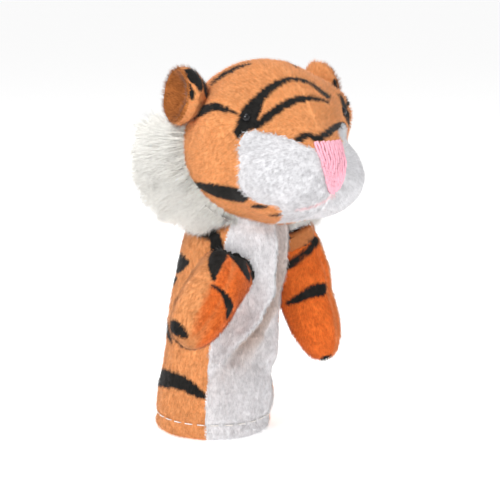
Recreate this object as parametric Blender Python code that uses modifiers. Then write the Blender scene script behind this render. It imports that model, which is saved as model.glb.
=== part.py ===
"""A plush tiger finger puppet, about 114 mm tall, as the cut and sewn pieces it is made of.

The puppet stands on its hem. Its origin is the middle of the finger opening, -Y is its front,
+X is its own left side and +Z is up. Sizes are in metres.
"""

import math
from collections import namedtuple

import bmesh
import bpy
from mathutils import Matrix, Vector

MM = 0.001
COLLECTION = "finger_puppet"

# Cloth and the small spaces left between sewn pieces
CLOTH = 1.6 * MM
SLEEVE_CLOTH = 1.9 * MM
LINING = 1.1 * MM
SEAM_GAP = 0.42 * MM
SLEEVE_SEAM_GAP = 0.75 * MM
CLEARANCE = 0.4 * MM
SLEEVE_CLEARANCE = 0.9 * MM

# Sleeve that the finger goes into
SLEEVE_WIDTH = 36.0 * MM
SLEEVE_DEPTH = 38.0 * MM
SLEEVE_TAPER = 0.7 * MM
SLEEVE_HEIGHT = 62.0 * MM
SHOULDER_HEIGHT = 8.0 * MM
NECK_RADIUS = 11.6 * MM
NECK_OVERRUN = 7.0 * MM
LEAN_LEFT = 5.4 * MM
LEAN_FORWARD = 7.9 * MM
BELLY_ANGLE_AT_HEM = math.radians(47)
BELLY_ANGLE_AT_SHOULDER = math.radians(57)
HEM_HEIGHT = 6.0 * MM
HEM_SLACK = 0.4 * MM

# Folds of the sleeve: a line from one place to another, given by the angle from the middle of
# the chest (degrees, + to the puppet's left) and the height, with its half width and its depth
Fold = namedtuple("Fold", "angle height end_angle end_height spread depth")
FOLDS = (
    Fold(18, 58 * MM, 12, 40 * MM, 3.8 * MM, 1.4 * MM),
    Fold(12, 40 * MM, -4, 33 * MM, 4.6 * MM, 1.6 * MM),
    Fold(-4, 33 * MM, -30, 23 * MM, 4.0 * MM, 1.6 * MM),
    Fold(27, 35 * MM, 6, 25 * MM, 4.0 * MM, -1.7 * MM),
    Fold(60, 18 * MM, 22, 20 * MM, 3.5 * MM, -1.2 * MM),
    Fold(62, 11 * MM, 38, 11 * MM, 4.5 * MM, 1.3 * MM),
    Fold(17, 15 * MM, 24, 8 * MM, 2.6 * MM, -0.9 * MM),
    Fold(150, 12 * MM, 190, 40 * MM, 7.0 * MM, 0.9 * MM),
    Fold(118, 44 * MM, 160, 30 * MM, 5.0 * MM, -0.9 * MM),
    Fold(-95, 38 * MM, -130, 22 * MM, 6.0 * MM, -0.8 * MM),
)

# Head: a skull, a brow, two muzzle lobes, a nose bridge and a jaw that run into one another
HEAD_LEFT = 3.3 * MM
HEAD_FORWARD = 6.6 * MM
HEAD_RISE = 27.1 * MM
HEAD_TURN = math.radians(-4)
SKULL_WIDTH = 52.0 * MM
SKULL_DEPTH = 48.0 * MM
SKULL_HEIGHT = 52.0 * MM
SKULL_RISE = 1.2 * MM
BROW_WIDTH = 42.0 * MM
MUZZLE_WIDTH = 41.6 * MM
MUZZLE_LENGTH = 35.7 * MM
MUZZLE_HEIGHT = 25.2 * MM
BRIDGE_WIDTH = 25.0 * MM
BRIDGE_LENGTH = 37.0 * MM
BRIDGE_HEIGHT = 19.0 * MM
JAW_WIDTH = 34.0 * MM
LOBE_SPACING = 10.0 * MM
FORM_BLEND = 0.9 * MM

# Seams of the head, as heights and depths from the middle of the head
FACE_SEAM_BACK = 8.0 * MM
FACE_SEAM_SWEEP = 0.035 / MM
CROWN_SEAM_HEIGHT = 10.6 * MM
EYE_CORNER = 18.0 * MM
EYE_CORNER_SLOPE = 1.2
MUZZLE_BACK = 15.0 * MM
MUZZLE_TOP = 9.8 * MM
MUZZLE_TOP_SLOPE = 0.38
MUZZLE_BOTTOM = -16.5 * MM
SEAM_ROUNDING = 3.0 * MM
TONGUE_WIDTH = 8.0 * MM
TONGUE_BOTTOM = -7.5 * MM

# Stitched nose, with its threads side by side
NOSE_WIDTH = 9.6 * MM
NOSE_TIP_WIDTH = 3.4 * MM
NOSE_ROUNDING = 3.2
NOSE_TOP = 4.6 * MM
NOSE_BOTTOM = -10.4 * MM
NOSE_THICKNESS = 0.9 * MM
NOSE_CLEARANCE = 0.65 * MM
NOSE_FLATNESS = 0.25
NOSE_THREADS = 9
THREAD_RELIEF = 0.35 * MM

# Bead eyes
EYE_WIDTH = 3.8 * MM
EYE_BULGE = 1.2 * MM
EYE_PLACE = Vector((17.6, -15.9, 11.0)) * MM

# Cupped ears
EAR_WIDTH = 16.4 * MM
EAR_HEIGHT = 17.6 * MM
EAR_CUP = 6.0 * MM
EAR_PLACE = Vector((25.8, 5.6, 16.2)) * MM
EAR_OPENING = Vector((0.97, 0.10, 0.14))
EAR_LEAN = Vector((0.30, 0.05, 1.0))

# Long pile ruff behind each cheek
RUFF_TOP_ANGLE = math.radians(16)
RUFF_BOTTOM_ANGLE = math.radians(-55)
RUFF_LENGTH = 15.5 * MM
RUFF_END_LENGTH = 8.5 * MM
RUFF_ROOT_THICKNESS = 7.0 * MM
RUFF_TIP_SHARE = 0.3
RUFF_BACKWARD = 0.75
RUFF_SEAT = 2.0 * MM
RUFF_TUFTS = 6
TUFT_RELIEF = 2.2 * MM

# Finger pocket inside the head
POCKET_RADIUS = 8.6 * MM
POCKET_DEPTH = 20.0 * MM
POCKET_SKIRT = 5.0 * MM

# Wadding inside the head's cloth and fill inside the arms
STUFFING_THICKNESS = 1.8 * MM
STUFFING_CLEARANCE = 0.5 * MM
ARM_FILL_CLEARANCE = 0.7 * MM

# Arms: where each is sewn on, how it hangs, and its width and thickness at root and paw
Arm = namedtuple("Arm", "side angle height elbow paw face width paw_width thickness")
ARMS = (
    Arm("right", -44, 53.0 * MM,
        Vector((-10.0, -9.0, 0.0)) * MM, Vector((-27.5, -13.0, -17.0)) * MM,
        Vector((-0.96, 0.10, 0.20)), 18.0 * MM, 18.5 * MM, 17.5 * MM),
    Arm("left", 62, 58.0 * MM,
        Vector((8.5, -2.5, -12.0)) * MM, Vector((12.0, -7.0, -39.0)) * MM,
        Vector((-0.93, -0.30, 0.10)), 19.0 * MM, 19.0 * MM, 14.0 * MM),
)
ARM_ROUND_FROM = 0.62
ARM_ROW_SPACING = 1.6
TIP_INSET_SHARE = 1.9

# Facets
HEAD_FACETS = (34, 20)
STUFFING_FACETS = (18, 10)
FACE_DETAIL = 0.42
BELLY_FACETS = (12, 21)
BACK_FACETS = (18, 14)
ARM_FACETS = (6, 9)
EAR_FACETS = 6
RUFF_FACETS = (24, 3)
POCKET_FACETS = 12
CLEARANCE_FACETS = (44, 22)
SEAM_SLIDE = 0.25


def material(name, colour, roughness=0.95):
    """A cloth, thread or bead finish in one colour."""
    made = bpy.data.materials.new(name)
    made.use_nodes = True
    shader = made.node_tree.nodes["Principled BSDF"]
    shader.inputs["Base Color"].default_value = (*colour, 1.0)
    shader.inputs["Roughness"].default_value = roughness
    return made


def new_object(name, mesh_data, finish, parent, cutter=False):
    """An object made from a bmesh, in the puppet's collection or among the cutters."""
    mesh = bpy.data.meshes.new(name)
    mesh_data.to_mesh(mesh)
    mesh_data.free()
    mesh.shade_smooth()
    if finish:
        mesh.materials.append(finish)
    made = bpy.data.objects.new(name, mesh)
    made.parent = parent
    collection = "cutters" if cutter else COLLECTION
    bpy.data.collections[collection].objects.link(made)
    if cutter:
        made.hide_render = True
        made.display_type = "WIRE"
    return made


def thicken(made, thickness):
    """Give a surface the thickness of its cloth, inwards."""
    solidify = made.modifiers.new("cloth", "SOLIDIFY")
    solidify.thickness = thickness
    solidify.offset = -1.0
    solidify.use_even_offset = True
    solidify.use_quality_normals = True


def cut_away(made, cutter):
    """Cut a piece by a clearance form."""
    cut = made.modifiers.new("clear of " + cutter.name, "BOOLEAN")
    cut.operation = "DIFFERENCE"
    cut.object = cutter


def smooth_max(values, blend):
    """The largest of the values, with a rounded change from one to the next."""
    top = max(values)
    return top + blend * math.log(sum(math.exp((value - top) / blend) for value in values))


def grid(across, along):
    """A flat grid, with both coordinates of its points from 0 to 1."""
    sheet = bmesh.new()
    bmesh.ops.create_grid(sheet, x_segments=across, y_segments=along, size=0.5)
    for point in sheet.verts:
        point.co.x += 0.5
        point.co.y += 0.5
    return sheet


def slab(across, along):
    """A flat closed slab; a point's z is 0 on its inner face and 1 on its outer one."""
    sheet = grid(across, along)
    raised = bmesh.ops.extrude_face_region(sheet, geom=sheet.faces[:])["geom"]
    for part in raised:
        if isinstance(part, bmesh.types.BMVert):
            part.co.z += 1.0
    return sheet


def face_outwards(sheet, centre):
    """Turn an open sheet over where its faces look towards a point inside."""
    sheet.normal_update()
    outward = sum(face.normal.dot(face.calc_center_median() - centre) for face in sheet.faces)
    if outward < 0:
        bmesh.ops.reverse_faces(sheet, faces=sheet.faces[:])
    sheet.normal_update()


def slide_to_seam(sheet, value):
    """Move the points that lie close to a seam on to it, so that the cut leaves no slivers."""
    moves = {}
    for edge in sheet.edges:
        for point, other in (edge.verts, reversed(edge.verts)):
            if value[point] * value[other] < 0:
                share = value[point] / (value[point] - value[other])
                if share < moves.get(point, (SEAM_SLIDE, None))[0]:
                    moves[point] = (share, point.co.lerp(other.co, share))
    for point, (_, place) in moves.items():
        point.co = place
        value[point] = 0.0


def keep_where(sheet, field):
    """Cut a surface along the line where field is 0, and keep the part where it is positive."""
    long_faces = [face for face in sheet.faces if len(face.verts) > 3]
    bmesh.ops.triangulate(sheet, faces=long_faces)
    value = {point: field(point.co) for point in sheet.verts}
    slide_to_seam(sheet, value)
    for edge in list(sheet.edges):
        first, last = edge.verts
        if value[first] * value[last] < 0:
            share = value[first] / (value[first] - value[last])
            _, middle = bmesh.utils.edge_split(edge, first, share)
            value[middle] = 0.0
    for face in list(sheet.faces):
        on_seam = [point for point in face.verts if value[point] == 0.0]
        if len(on_seam) == 2 and len(face.verts) > 3:
            bmesh.utils.face_split(face, on_seam[0], on_seam[1])
    outside = [face for face in sheet.faces if sum(value[point] for point in face.verts) <= 0]
    bmesh.ops.delete(sheet, geom=outside, context="FACES")


def fold_height(angle, height):
    """How far the folds push the sleeve's cloth out at a place on it."""
    radius = SLEEVE_WIDTH / 2
    total = 0.0
    for fold in FOLDS:
        turn = math.radians(fold.angle)
        start = Vector((0.0, fold.height))
        end = Vector((radius * (math.radians(fold.end_angle) - turn), fold.end_height))
        around = (angle - turn + math.pi) % (2 * math.pi) - math.pi
        place = Vector((radius * around, height))
        line = end - start
        share = max(0.0, min(1.0, (place - start).dot(line) / line.length_squared))
        distance = (place - start - line * share).length
        total += fold.depth * math.exp(-(distance / fold.spread) ** 2)
    return total


def sleeve_axis(height):
    """The middle of the sleeve at a height; the puppet leans a little forward and to its left."""
    rise = (max(height, 0.0) / SLEEVE_HEIGHT) ** 1.5
    return Vector((LEAN_LEFT * rise, -LEAN_FORWARD * rise, height))


def sleeve_point(angle, height, inset=0.0):
    """A point on the sleeve, inset from its outer face."""
    rise = max(0.0, min(1.0, height / SLEEVE_HEIGHT))
    over = max(0.0, min(1.0, (height - SLEEVE_HEIGHT) / SHOULDER_HEIGHT))
    fullness = math.sqrt(1.0 - over ** 2)
    calm = min(1.0, height / HEM_HEIGHT) if height < HEM_HEIGHT else fullness
    fold = fold_height(angle, height) * max(0.0, calm)
    half_width = SLEEVE_WIDTH / 2 - SLEEVE_TAPER * rise
    half_depth = SLEEVE_DEPTH / 2 - SLEEVE_TAPER * rise
    across = NECK_RADIUS + (half_width - NECK_RADIUS) * fullness + fold - inset
    deep = NECK_RADIUS + (half_depth - NECK_RADIUS) * fullness + fold - inset
    return sleeve_axis(height) + Vector((across * math.sin(angle), -deep * math.cos(angle), 0))


def belly_half_angle(height):
    """Where the seam between the white belly and the orange back lies."""
    rise = max(0.0, min(1.0, height / SLEEVE_HEIGHT))
    return BELLY_ANGLE_AT_HEM + (BELLY_ANGLE_AT_SHOULDER - BELLY_ANGLE_AT_HEM) * rise


def sleeve_rows(count):
    """Insets and heights down the outside of the sleeve, round the hem and up inside it."""
    top = SLEEVE_HEIGHT + SHOULDER_HEIGHT + NECK_OVERRUN
    turned = 2 * SLEEVE_CLOTH + HEM_SLACK
    rows = [(0.0, top * (1 - step / (count - 2))) for step in range(count - 1)]
    return rows + [(turned, 0.0), (turned, HEM_HEIGHT)]


def sleeve_panel(name, facets, start_side, end_side, finish, parent, head_form):
    """One panel of the sleeve between two seams, with its hem turned in at the bottom."""
    across, along = facets
    rows = sleeve_rows(along)
    sheet = grid(across, along)
    for point in sheet.verts:
        inset, height = rows[round(point.co.y * along)]
        gap = SLEEVE_SEAM_GAP / SLEEVE_WIDTH
        half = belly_half_angle(height)
        start = start_side(half) + gap
        end = end_side(half) - gap
        point.co = sleeve_point(start + (end - start) * point.co.x, height, inset)
    sheet.normal_update()
    top_face = max(sheet.faces, key=lambda face: face.calc_center_median().z)
    middle = sleeve_axis(top_face.calc_center_median().z)
    if top_face.normal.dot(top_face.calc_center_median() - middle) < 0:
        bmesh.ops.reverse_faces(sheet, faces=sheet.faces[:])
    made = new_object(name, sheet, finish, parent)
    thicken(made, SLEEVE_CLOTH)
    cut_away(made, head_form)
    return made


def sleeve_clearance(parent):
    """The sleeve's whole outer form, grown by the clearance, to trim what is sewn on to it."""
    body = bmesh.new()
    around, along = CLEARANCE_FACETS
    bmesh.ops.create_cone(body, cap_ends=True, segments=around, radius1=1, radius2=1, depth=1)
    top = SLEEVE_HEIGHT + SHOULDER_HEIGHT + NECK_OVERRUN
    sides = [edge for edge in body.edges if abs(edge.verts[0].co.z - edge.verts[1].co.z) > 0.5]
    bmesh.ops.subdivide_edges(body, edges=sides, cuts=along)
    for point in body.verts:
        angle = math.atan2(point.co.x, -point.co.y)
        height = (point.co.z + 0.5) * top
        point.co = sleeve_point(angle, height, -SLEEVE_CLEARANCE)
    return new_object("sleeve_clearance", body, None, parent, cutter=True)


SKULL = (Vector((0, 0, SKULL_RISE)), Vector((SKULL_WIDTH, SKULL_DEPTH, SKULL_HEIGHT)) / 2)
BROW = (Vector((0, -7 * MM, 7 * MM)), Vector((BROW_WIDTH / 2, 18.5 * MM, 16 * MM)))
MUZZLE_LOBE = (
    Vector((LOBE_SPACING / 2, -18.3 * MM, -7.6 * MM)),
    Vector(((MUZZLE_WIDTH - LOBE_SPACING) / 2, MUZZLE_LENGTH / 2 - 0.7 * MM, MUZZLE_HEIGHT / 2)),
)
BRIDGE = (
    Vector((0, -17 * MM, 0.2 * MM)),
    Vector((BRIDGE_WIDTH / 2, BRIDGE_LENGTH / 2, BRIDGE_HEIGHT / 2)),
)
JAW = (Vector((0, -9 * MM, -11.5 * MM)), Vector((JAW_WIDTH / 2, 15 * MM, 11 * MM)))
HEAD_LOBES = (SKULL, BROW, MUZZLE_LOBE, BRIDGE, JAW)


def lobe_reach(direction, centre, half_sizes):
    """How far a ray from the middle of the head runs before it leaves one lobe."""
    ray = Vector(d / h for d, h in zip(direction, half_sizes))
    start = Vector(c / h for c, h in zip(centre, half_sizes))
    a = ray.dot(ray)
    b = -ray.dot(start)
    root = b * b - a * (start.dot(start) - 1)
    return (-b + math.sqrt(root)) / a if root > 0 else 0.0


def head_point(direction, lobes=HEAD_LOBES):
    """The point of the head's outer form in a direction from its middle."""
    mirrored = Vector((abs(direction.x), direction.y, direction.z)).normalized()
    reach = smooth_max([lobe_reach(mirrored, *lobe) for lobe in lobes], FORM_BLEND)
    return direction.normalized() * reach


def head_surface(facets=HEAD_FACETS, grow=0.0, lobes=HEAD_LOBES):
    """The head's closed outer form, grown or shrunk along its normals."""
    around, along = facets
    form = bmesh.new()
    bmesh.ops.create_uvsphere(form, u_segments=around, v_segments=along, radius=1)
    for point in form.verts:
        turn = math.atan2(point.co.x, -point.co.y)
        turn -= FACE_DETAIL * math.sin(turn)
        spread = math.hypot(point.co.x, point.co.y)
        ray = Vector((spread * math.sin(turn), -spread * math.cos(turn), point.co.z))
        point.co = head_point(ray, lobes)
    bmesh.ops.triangulate(form, faces=form.faces[:])
    form.normal_update()
    moved = [point.co + point.normal * grow for point in form.verts]
    for point, place in zip(form.verts, moved):
        point.co = place
    return form


def round_min(*values):
    """The smallest of the values, with a rounded corner where they meet."""
    return -smooth_max([-value for value in values], SEAM_ROUNDING)


def face_seam(place):
    """Positive in front of the seam that runs round behind the cheeks."""
    sweep = FACE_SEAM_SWEEP * min(place.z, 0.0) ** 2
    return FACE_SEAM_BACK - sweep - place.y


def crown_seam(place):
    """Positive above the seam from the ear to the corner of the eye."""
    return place.z - CROWN_SEAM_HEIGHT + EYE_CORNER_SLOPE * max(0.0, EYE_CORNER - abs(place.x))


def muzzle_seam(place):
    """Positive on the white muzzle, which stops at the tongue of crown cloth under the nose."""
    top = MUZZLE_TOP + MUZZLE_TOP_SLOPE * (place.y + MUZZLE_BACK)
    outline = round_min(-MUZZLE_BACK - place.y, top - place.z, place.z - MUZZLE_BOTTOM)
    tongue = round_min(TONGUE_WIDTH / 2 - abs(place.x), place.z - TONGUE_BOTTOM)
    return min(outline, -tongue)


def head_panel(name, fields, finish, head, pocket_form):
    """One cut piece of the head: the part of its form inside every given seam."""
    sheet = head_surface()
    for field in fields:
        keep_where(sheet, lambda place, field=field: field(place) - SEAM_GAP / 2)
    sheet.normal_update()
    made = new_object(name, sheet, finish, head)
    thicken(made, CLOTH)
    cut_away(made, pocket_form)
    return made


def head_panels(finishes, head, pocket_form):
    """Crown, back, two cheeks and two muzzle lobes."""
    def in_front(place):
        return face_seam(place)

    def below_crown(place):
        return -crown_seam(place)

    def off_muzzle(place):
        return -muzzle_seam(place)

    orange, white = finishes["orange"], finishes["white"]
    head_panel("crown_panel", (in_front, off_muzzle, crown_seam), orange, head, pocket_form)
    head_panel("head_back_panel", (lambda place: -face_seam(place),), orange, head, pocket_form)
    for side, sign in (("right", -1), ("left", 1)):
        def own_half(place, sign=sign):
            return sign * place.x
        cheek = (own_half, in_front, off_muzzle, below_crown)
        head_panel("cheek_" + side, cheek, orange, head, pocket_form)
        head_panel("muzzle_" + side, (own_half, muzzle_seam), white, head, pocket_form)


def head_stuffing(finish, head, pocket_form):
    """A layer of wadding inside the head's cloth, open at the neck where the finger goes in."""
    form = head_surface(STUFFING_FACETS, -(CLOTH + STUFFING_CLEARANCE), (SKULL, BROW, JAW))
    made = new_object("head_stuffing", form, finish, head)
    thicken(made, STUFFING_THICKNESS)
    cut_away(made, pocket_form)
    return made


def pocket_sheet(radius, bottom, top):
    """A round-ended sock round the neck's axis, open at its bottom."""
    sheet = grid(POCKET_FACETS, POCKET_FACETS // 2)
    middle = sleeve_axis(SLEEVE_HEIGHT + SHOULDER_HEIGHT)
    for point in sheet.verts:
        turn = 2 * math.pi * point.co.x
        lift = max(0.0, 1.5 * point.co.y - 0.5) * math.pi / 2
        wall = min(1.0, 3 * point.co.y)
        height = bottom + (top - radius - bottom) * wall + radius * math.sin(lift)
        spread = radius * math.cos(lift) if lift < math.pi / 2 - 0.001 else 0.0
        point.co = Vector((middle.x + spread * math.cos(turn),
                           middle.y + spread * math.sin(turn), height))
    bmesh.ops.remove_doubles(sheet, verts=sheet.verts[:], dist=0.001 * MM)
    face_outwards(sheet, Vector((middle.x, middle.y, (top + bottom) / 2)))
    return sheet


def finger_pocket(finish, parent):
    """The sock that the fingertip goes into, from the neck up into the head."""
    bottom = SLEEVE_HEIGHT + SHOULDER_HEIGHT - POCKET_SKIRT
    sheet = pocket_sheet(POCKET_RADIUS, bottom, bottom + POCKET_DEPTH)
    made = new_object("finger_pocket", sheet, finish, parent)
    thicken(made, LINING)
    return made


def pocket_clearance(parent):
    """The space that the finger pocket needs, down through the neck."""
    bottom = SLEEVE_HEIGHT + SHOULDER_HEIGHT - POCKET_SKIRT
    form = pocket_sheet(POCKET_RADIUS + CLEARANCE, bottom - 2 * POCKET_SKIRT,
                        bottom + POCKET_DEPTH + CLEARANCE)
    rim = [edge for edge in form.edges if edge.is_boundary]
    bmesh.ops.contextual_create(form, geom=rim)
    bmesh.ops.recalc_face_normals(form, faces=form.faces[:])
    return new_object("pocket_clearance", form, None, parent, cutter=True)


def nose_reach(turn, lift):
    """How far the head's form reaches in front, for a turn to the side and an upward angle."""
    ray = Vector((math.sin(turn) * math.cos(lift), -math.cos(turn) * math.cos(lift),
                  math.sin(lift)))
    return ray, head_point(ray).length


def stitched_nose(finish, head):
    """Satin threads side by side over the tip of the bridge, as one ridged patch."""
    seat = new_object("nose_clearance", head_surface(grow=NOSE_CLEARANCE), None, head, cutter=True)
    mean_reach = SKULL_DEPTH / 2 + MUZZLE_LENGTH / 3
    patch = slab(NOSE_THREADS * 3, 6)
    for point in patch.verts:
        side = 2 * point.co.x - 1
        down = 1 - point.co.y
        width = NOSE_TIP_WIDTH + (NOSE_WIDTH - NOSE_TIP_WIDTH) * (1 - down ** NOSE_ROUNDING)
        turn = width / 2 / mean_reach
        lift = (NOSE_TOP + (NOSE_BOTTOM - NOSE_TOP) * down) / mean_reach
        own_reach = nose_reach(turn * side, lift)[1]
        top_reach = max(nose_reach(turn * share, lift)[1] for share in (-1.0, -0.5, 0.0))
        reach = own_reach + (top_reach - own_reach) * NOSE_FLATNESS
        relief = THREAD_RELIEF * abs(math.sin(math.pi * NOSE_THREADS * point.co.x))
        height = NOSE_THICKNESS + relief if point.co.z > 0.5 else -NOSE_THICKNESS
        point.co = nose_reach(turn * side, lift)[0] * (reach + NOSE_CLEARANCE + height)
    bmesh.ops.recalc_face_normals(patch, faces=patch.faces[:])
    made = new_object("nose_stitching", patch, finish, head)
    cut_away(made, seat)
    return made


def bead_eye(side, sign, finish, head, head_form):
    """A small domed bead that sits on the cheek seam."""
    place = head_point(Vector((sign * EYE_PLACE.x, EYE_PLACE.y, EYE_PLACE.z)))
    bead = bmesh.new()
    bmesh.ops.create_uvsphere(bead, u_segments=12, v_segments=8, radius=1)
    turn = place.to_track_quat("Z", "Y").to_matrix().to_4x4()
    size = Matrix.Diagonal((EYE_WIDTH / 2, EYE_WIDTH / 2, EYE_BULGE, 1))
    bead.transform(Matrix.Translation(place) @ turn @ size)
    made = new_object("eye_" + side, bead, finish, head)
    cut_away(made, head_form)
    return made


def ear_frame(sign):
    """The ear's place, the way its cup opens, and its forward and upward directions."""
    opening = Vector((sign * EAR_OPENING.x, EAR_OPENING.y, EAR_OPENING.z)).normalized()
    up = Vector((sign * EAR_LEAN.x, EAR_LEAN.y, EAR_LEAN.z))
    up = (up - opening * up.dot(opening)).normalized()
    place = Vector((sign * EAR_PLACE.x, EAR_PLACE.y, EAR_PLACE.z))
    return place, opening, opening.cross(up), up


def ear_layer(name, sign, offset, thickness, shrink, finish, head, head_form):
    """One of the two cupped cloths of an ear."""
    place, opening, forward, up = ear_frame(sign)
    sheet = grid(EAR_FACETS, EAR_FACETS)
    for point in sheet.verts:
        x = 2 * point.co.x - 1
        y = 2 * point.co.y - 1
        across = x * math.sqrt(1 - y * y / 2)
        high = y * math.sqrt(1 - x * x / 2)
        hollow = EAR_CUP * (1 - across ** 2 - high ** 2)
        half_width = EAR_WIDTH / 2 - shrink
        half_height = EAR_HEIGHT / 2 - shrink
        point.co = (place + forward * across * half_width + up * high * half_height
                    + opening * (offset - hollow))
    sheet.normal_update()
    if sum(face.normal.dot(opening) for face in sheet.faces) > 0:
        bmesh.ops.reverse_faces(sheet, faces=sheet.faces[:])
    made = new_object(name, sheet, finish, head)
    thicken(made, thickness)
    cut_away(made, head_form)
    return made


def ears(finishes, head, head_form):
    """Each ear is an orange back and a darker lining, cupped to the side."""
    for side, sign in (("right", -1), ("left", 1)):
        ear_layer(f"ear_{side}_back", sign, 0.0, CLOTH, 0.0, finishes["orange"], head, head_form)
        ear_layer(f"ear_{side}_lining", sign, CLOTH + SEAM_GAP, LINING, CLOTH / 2,
                  finishes["lining"], head, head_form)


def ruff_point(sign, along, out, layer):
    """A point of a ruff: along it from ear to chin, out to its tips, behind or in front."""
    turn = RUFF_TOP_ANGLE + (RUFF_BOTTOM_ANGLE - RUFF_TOP_ANGLE) * along
    radial = Vector((sign * math.cos(turn), 0, math.sin(turn)))
    drop = min(math.sin(turn) * SKULL_HEIGHT / 2, 0.0)
    seam_back = FACE_SEAM_BACK - FACE_SEAM_SWEEP * drop ** 2 + RUFF_ROOT_THICKNESS / 2
    root = head_point(radial + Vector((0, seam_back * 2 / SKULL_WIDTH, 0)))
    sweep = (radial + Vector((0, RUFF_BACKWARD, 0))).normalized()
    face = Vector((0, -1, 0)) - sweep * Vector((0, -1, 0)).dot(sweep)
    middle = math.sin(math.pi * (0.15 + 0.85 * along)) ** 0.7
    length = RUFF_END_LENGTH + (RUFF_LENGTH - RUFF_END_LENGTH) * middle
    tuft = abs(math.sin(math.pi * RUFF_TUFTS * along)) ** 0.7
    length += TUFT_RELIEF * (tuft - 0.6)
    swell = RUFF_TIP_SHARE + (1 - RUFF_TIP_SHARE) * math.cos(math.pi / 2 * out ** 1.3)
    half = RUFF_ROOT_THICKNESS / 2 * swell * (0.75 + 0.25 * tuft)
    side = half if layer > 0.5 else -half
    return root + sweep * (length * out - RUFF_SEAT) + face.normalized() * side


def ruff(side, sign, finish, head, cutters):
    """A crescent of long pile, tufted at its edge, sewn in behind the cheek."""
    crescent = slab(*RUFF_FACETS)
    for point in crescent.verts:
        point.co = ruff_point(sign, *point.co)
    bmesh.ops.recalc_face_normals(crescent, faces=crescent.faces[:])
    made = new_object("ruff_" + side, crescent, finish, head)
    for cutter in cutters:
        cut_away(made, cutter)
    return made


def arm_axis(arm, share):
    """A point on the middle line of an arm, and the line's direction there."""
    root = sleeve_point(math.radians(arm.angle), arm.height, CLOTH)
    elbow = root + arm.elbow
    paw = root + arm.paw
    place = root * (1 - share) ** 2 + elbow * 2 * share * (1 - share) + paw * share ** 2
    along = ((elbow - root) * (1 - share) + (paw - elbow) * share).normalized()
    return place, along


def arm_point(arm, share, around, inset, shift=0.0, fullness=1.0):
    """A point on an arm; around is 0 and pi on its two seams, where its sides run straight in."""
    edge = math.cos(math.pi / ARM_FACETS[0])
    length = arm.paw.length
    place, along = arm_axis(arm, share * (1 - TIP_INSET_SHARE * inset / length))
    broad = along.cross(arm.face).normalized()
    flat = broad.cross(along).normalized()
    past = max(0.0, (share - ARM_ROUND_FROM) / (1 - ARM_ROUND_FROM))
    rounding = math.sqrt(max(0.0, 1 - past ** 2.4))
    half_width = (arm.width + (arm.paw_width - arm.width) * min(1.0, share * 1.6)) / 2 - inset
    half_thick = arm.thickness / 2 - inset
    reach = max(-edge, min(edge, math.cos(around)))
    return (place + broad * half_width * rounding * reach
            + flat * (half_thick * fullness * rounding * math.sin(around) + shift))


def arm_cloth(arm, layer, sign, finish, parent, cutters):
    """One of the two cloths of an arm, open where it is sewn to the sleeve."""
    sheet = slab(*ARM_FACETS)
    last_row = 1 - 1 / ARM_FACETS[1]
    for point in sheet.verts:
        around = point.co.x * math.pi * sign
        share = 1 - (1 - min(point.co.y, last_row)) ** ARM_ROW_SPACING
        fullness = 1.0 if point.co.y < last_row + 0.01 else 0.0
        inset = 0.0 if point.co.z > 0.5 else CLOTH
        point.co = arm_point(arm, share, around, inset, sign * SEAM_GAP / 2, fullness)
    bmesh.ops.recalc_face_normals(sheet, faces=sheet.faces[:])
    made = new_object(f"arm_{arm.side}_{layer}", sheet, finish, parent)
    for cutter in cutters:
        cut_away(made, cutter)
    return made


def arm_stuffing(arm, finish, parent, cutters):
    """The fibre fill of an arm."""
    fill = bmesh.new()
    bmesh.ops.create_uvsphere(fill, u_segments=14, v_segments=10, radius=1)
    for point in fill.verts:
        share = 0.5 - point.co.z / 2
        around = math.atan2(point.co.y, point.co.x)
        near_root = math.sqrt(min(1.0, max(0.0, share) / 0.15))
        place = arm_point(arm, share, around, CLOTH + ARM_FILL_CLEARANCE)
        shorten = TIP_INSET_SHARE * (CLOTH + ARM_FILL_CLEARANCE) / arm.paw.length
        middle = arm_axis(arm, share * (1 - shorten))[0]
        point.co = middle + (place - middle) * near_root
    bmesh.ops.recalc_face_normals(fill, faces=fill.faces[:])
    made = new_object(f"arm_{arm.side}_stuffing", fill, finish, parent)
    for cutter in cutters:
        cut_away(made, cutter)
    return made


def arms(finishes, parent, cutters):
    """Both arms: an outer and an inner cloth round a little fill."""
    for arm in ARMS:
        arm_cloth(arm, "outer", 1, finishes["orange"], parent, cutters)
        arm_cloth(arm, "inner", -1, finishes["orange"], parent, cutters)
        arm_stuffing(arm, finishes["fill"], parent, cutters)


def sleeve(finishes, parent, head_form):
    """The white belly and the orange back, sewn together at two side seams."""
    sleeve_panel("belly_panel", BELLY_FACETS, lambda half: -half, lambda half: half,
                 finishes["white"], parent, head_form)
    sleeve_panel("back_panel", BACK_FACETS, lambda half: half,
                 lambda half: 2 * math.pi - half, finishes["orange"], parent, head_form)


def clear_scene():
    """Start from an empty scene."""
    for old in list(bpy.data.objects):
        bpy.data.objects.remove(old)
    for name in (COLLECTION, "cutters"):
        collection = bpy.data.collections.new(name)
        bpy.context.scene.collection.children.link(collection)


def empty(name, parent=None):
    """An empty that carries other pieces."""
    made = bpy.data.objects.new(name, None)
    made.parent = parent
    bpy.data.collections[COLLECTION].objects.link(made)
    return made


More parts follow.
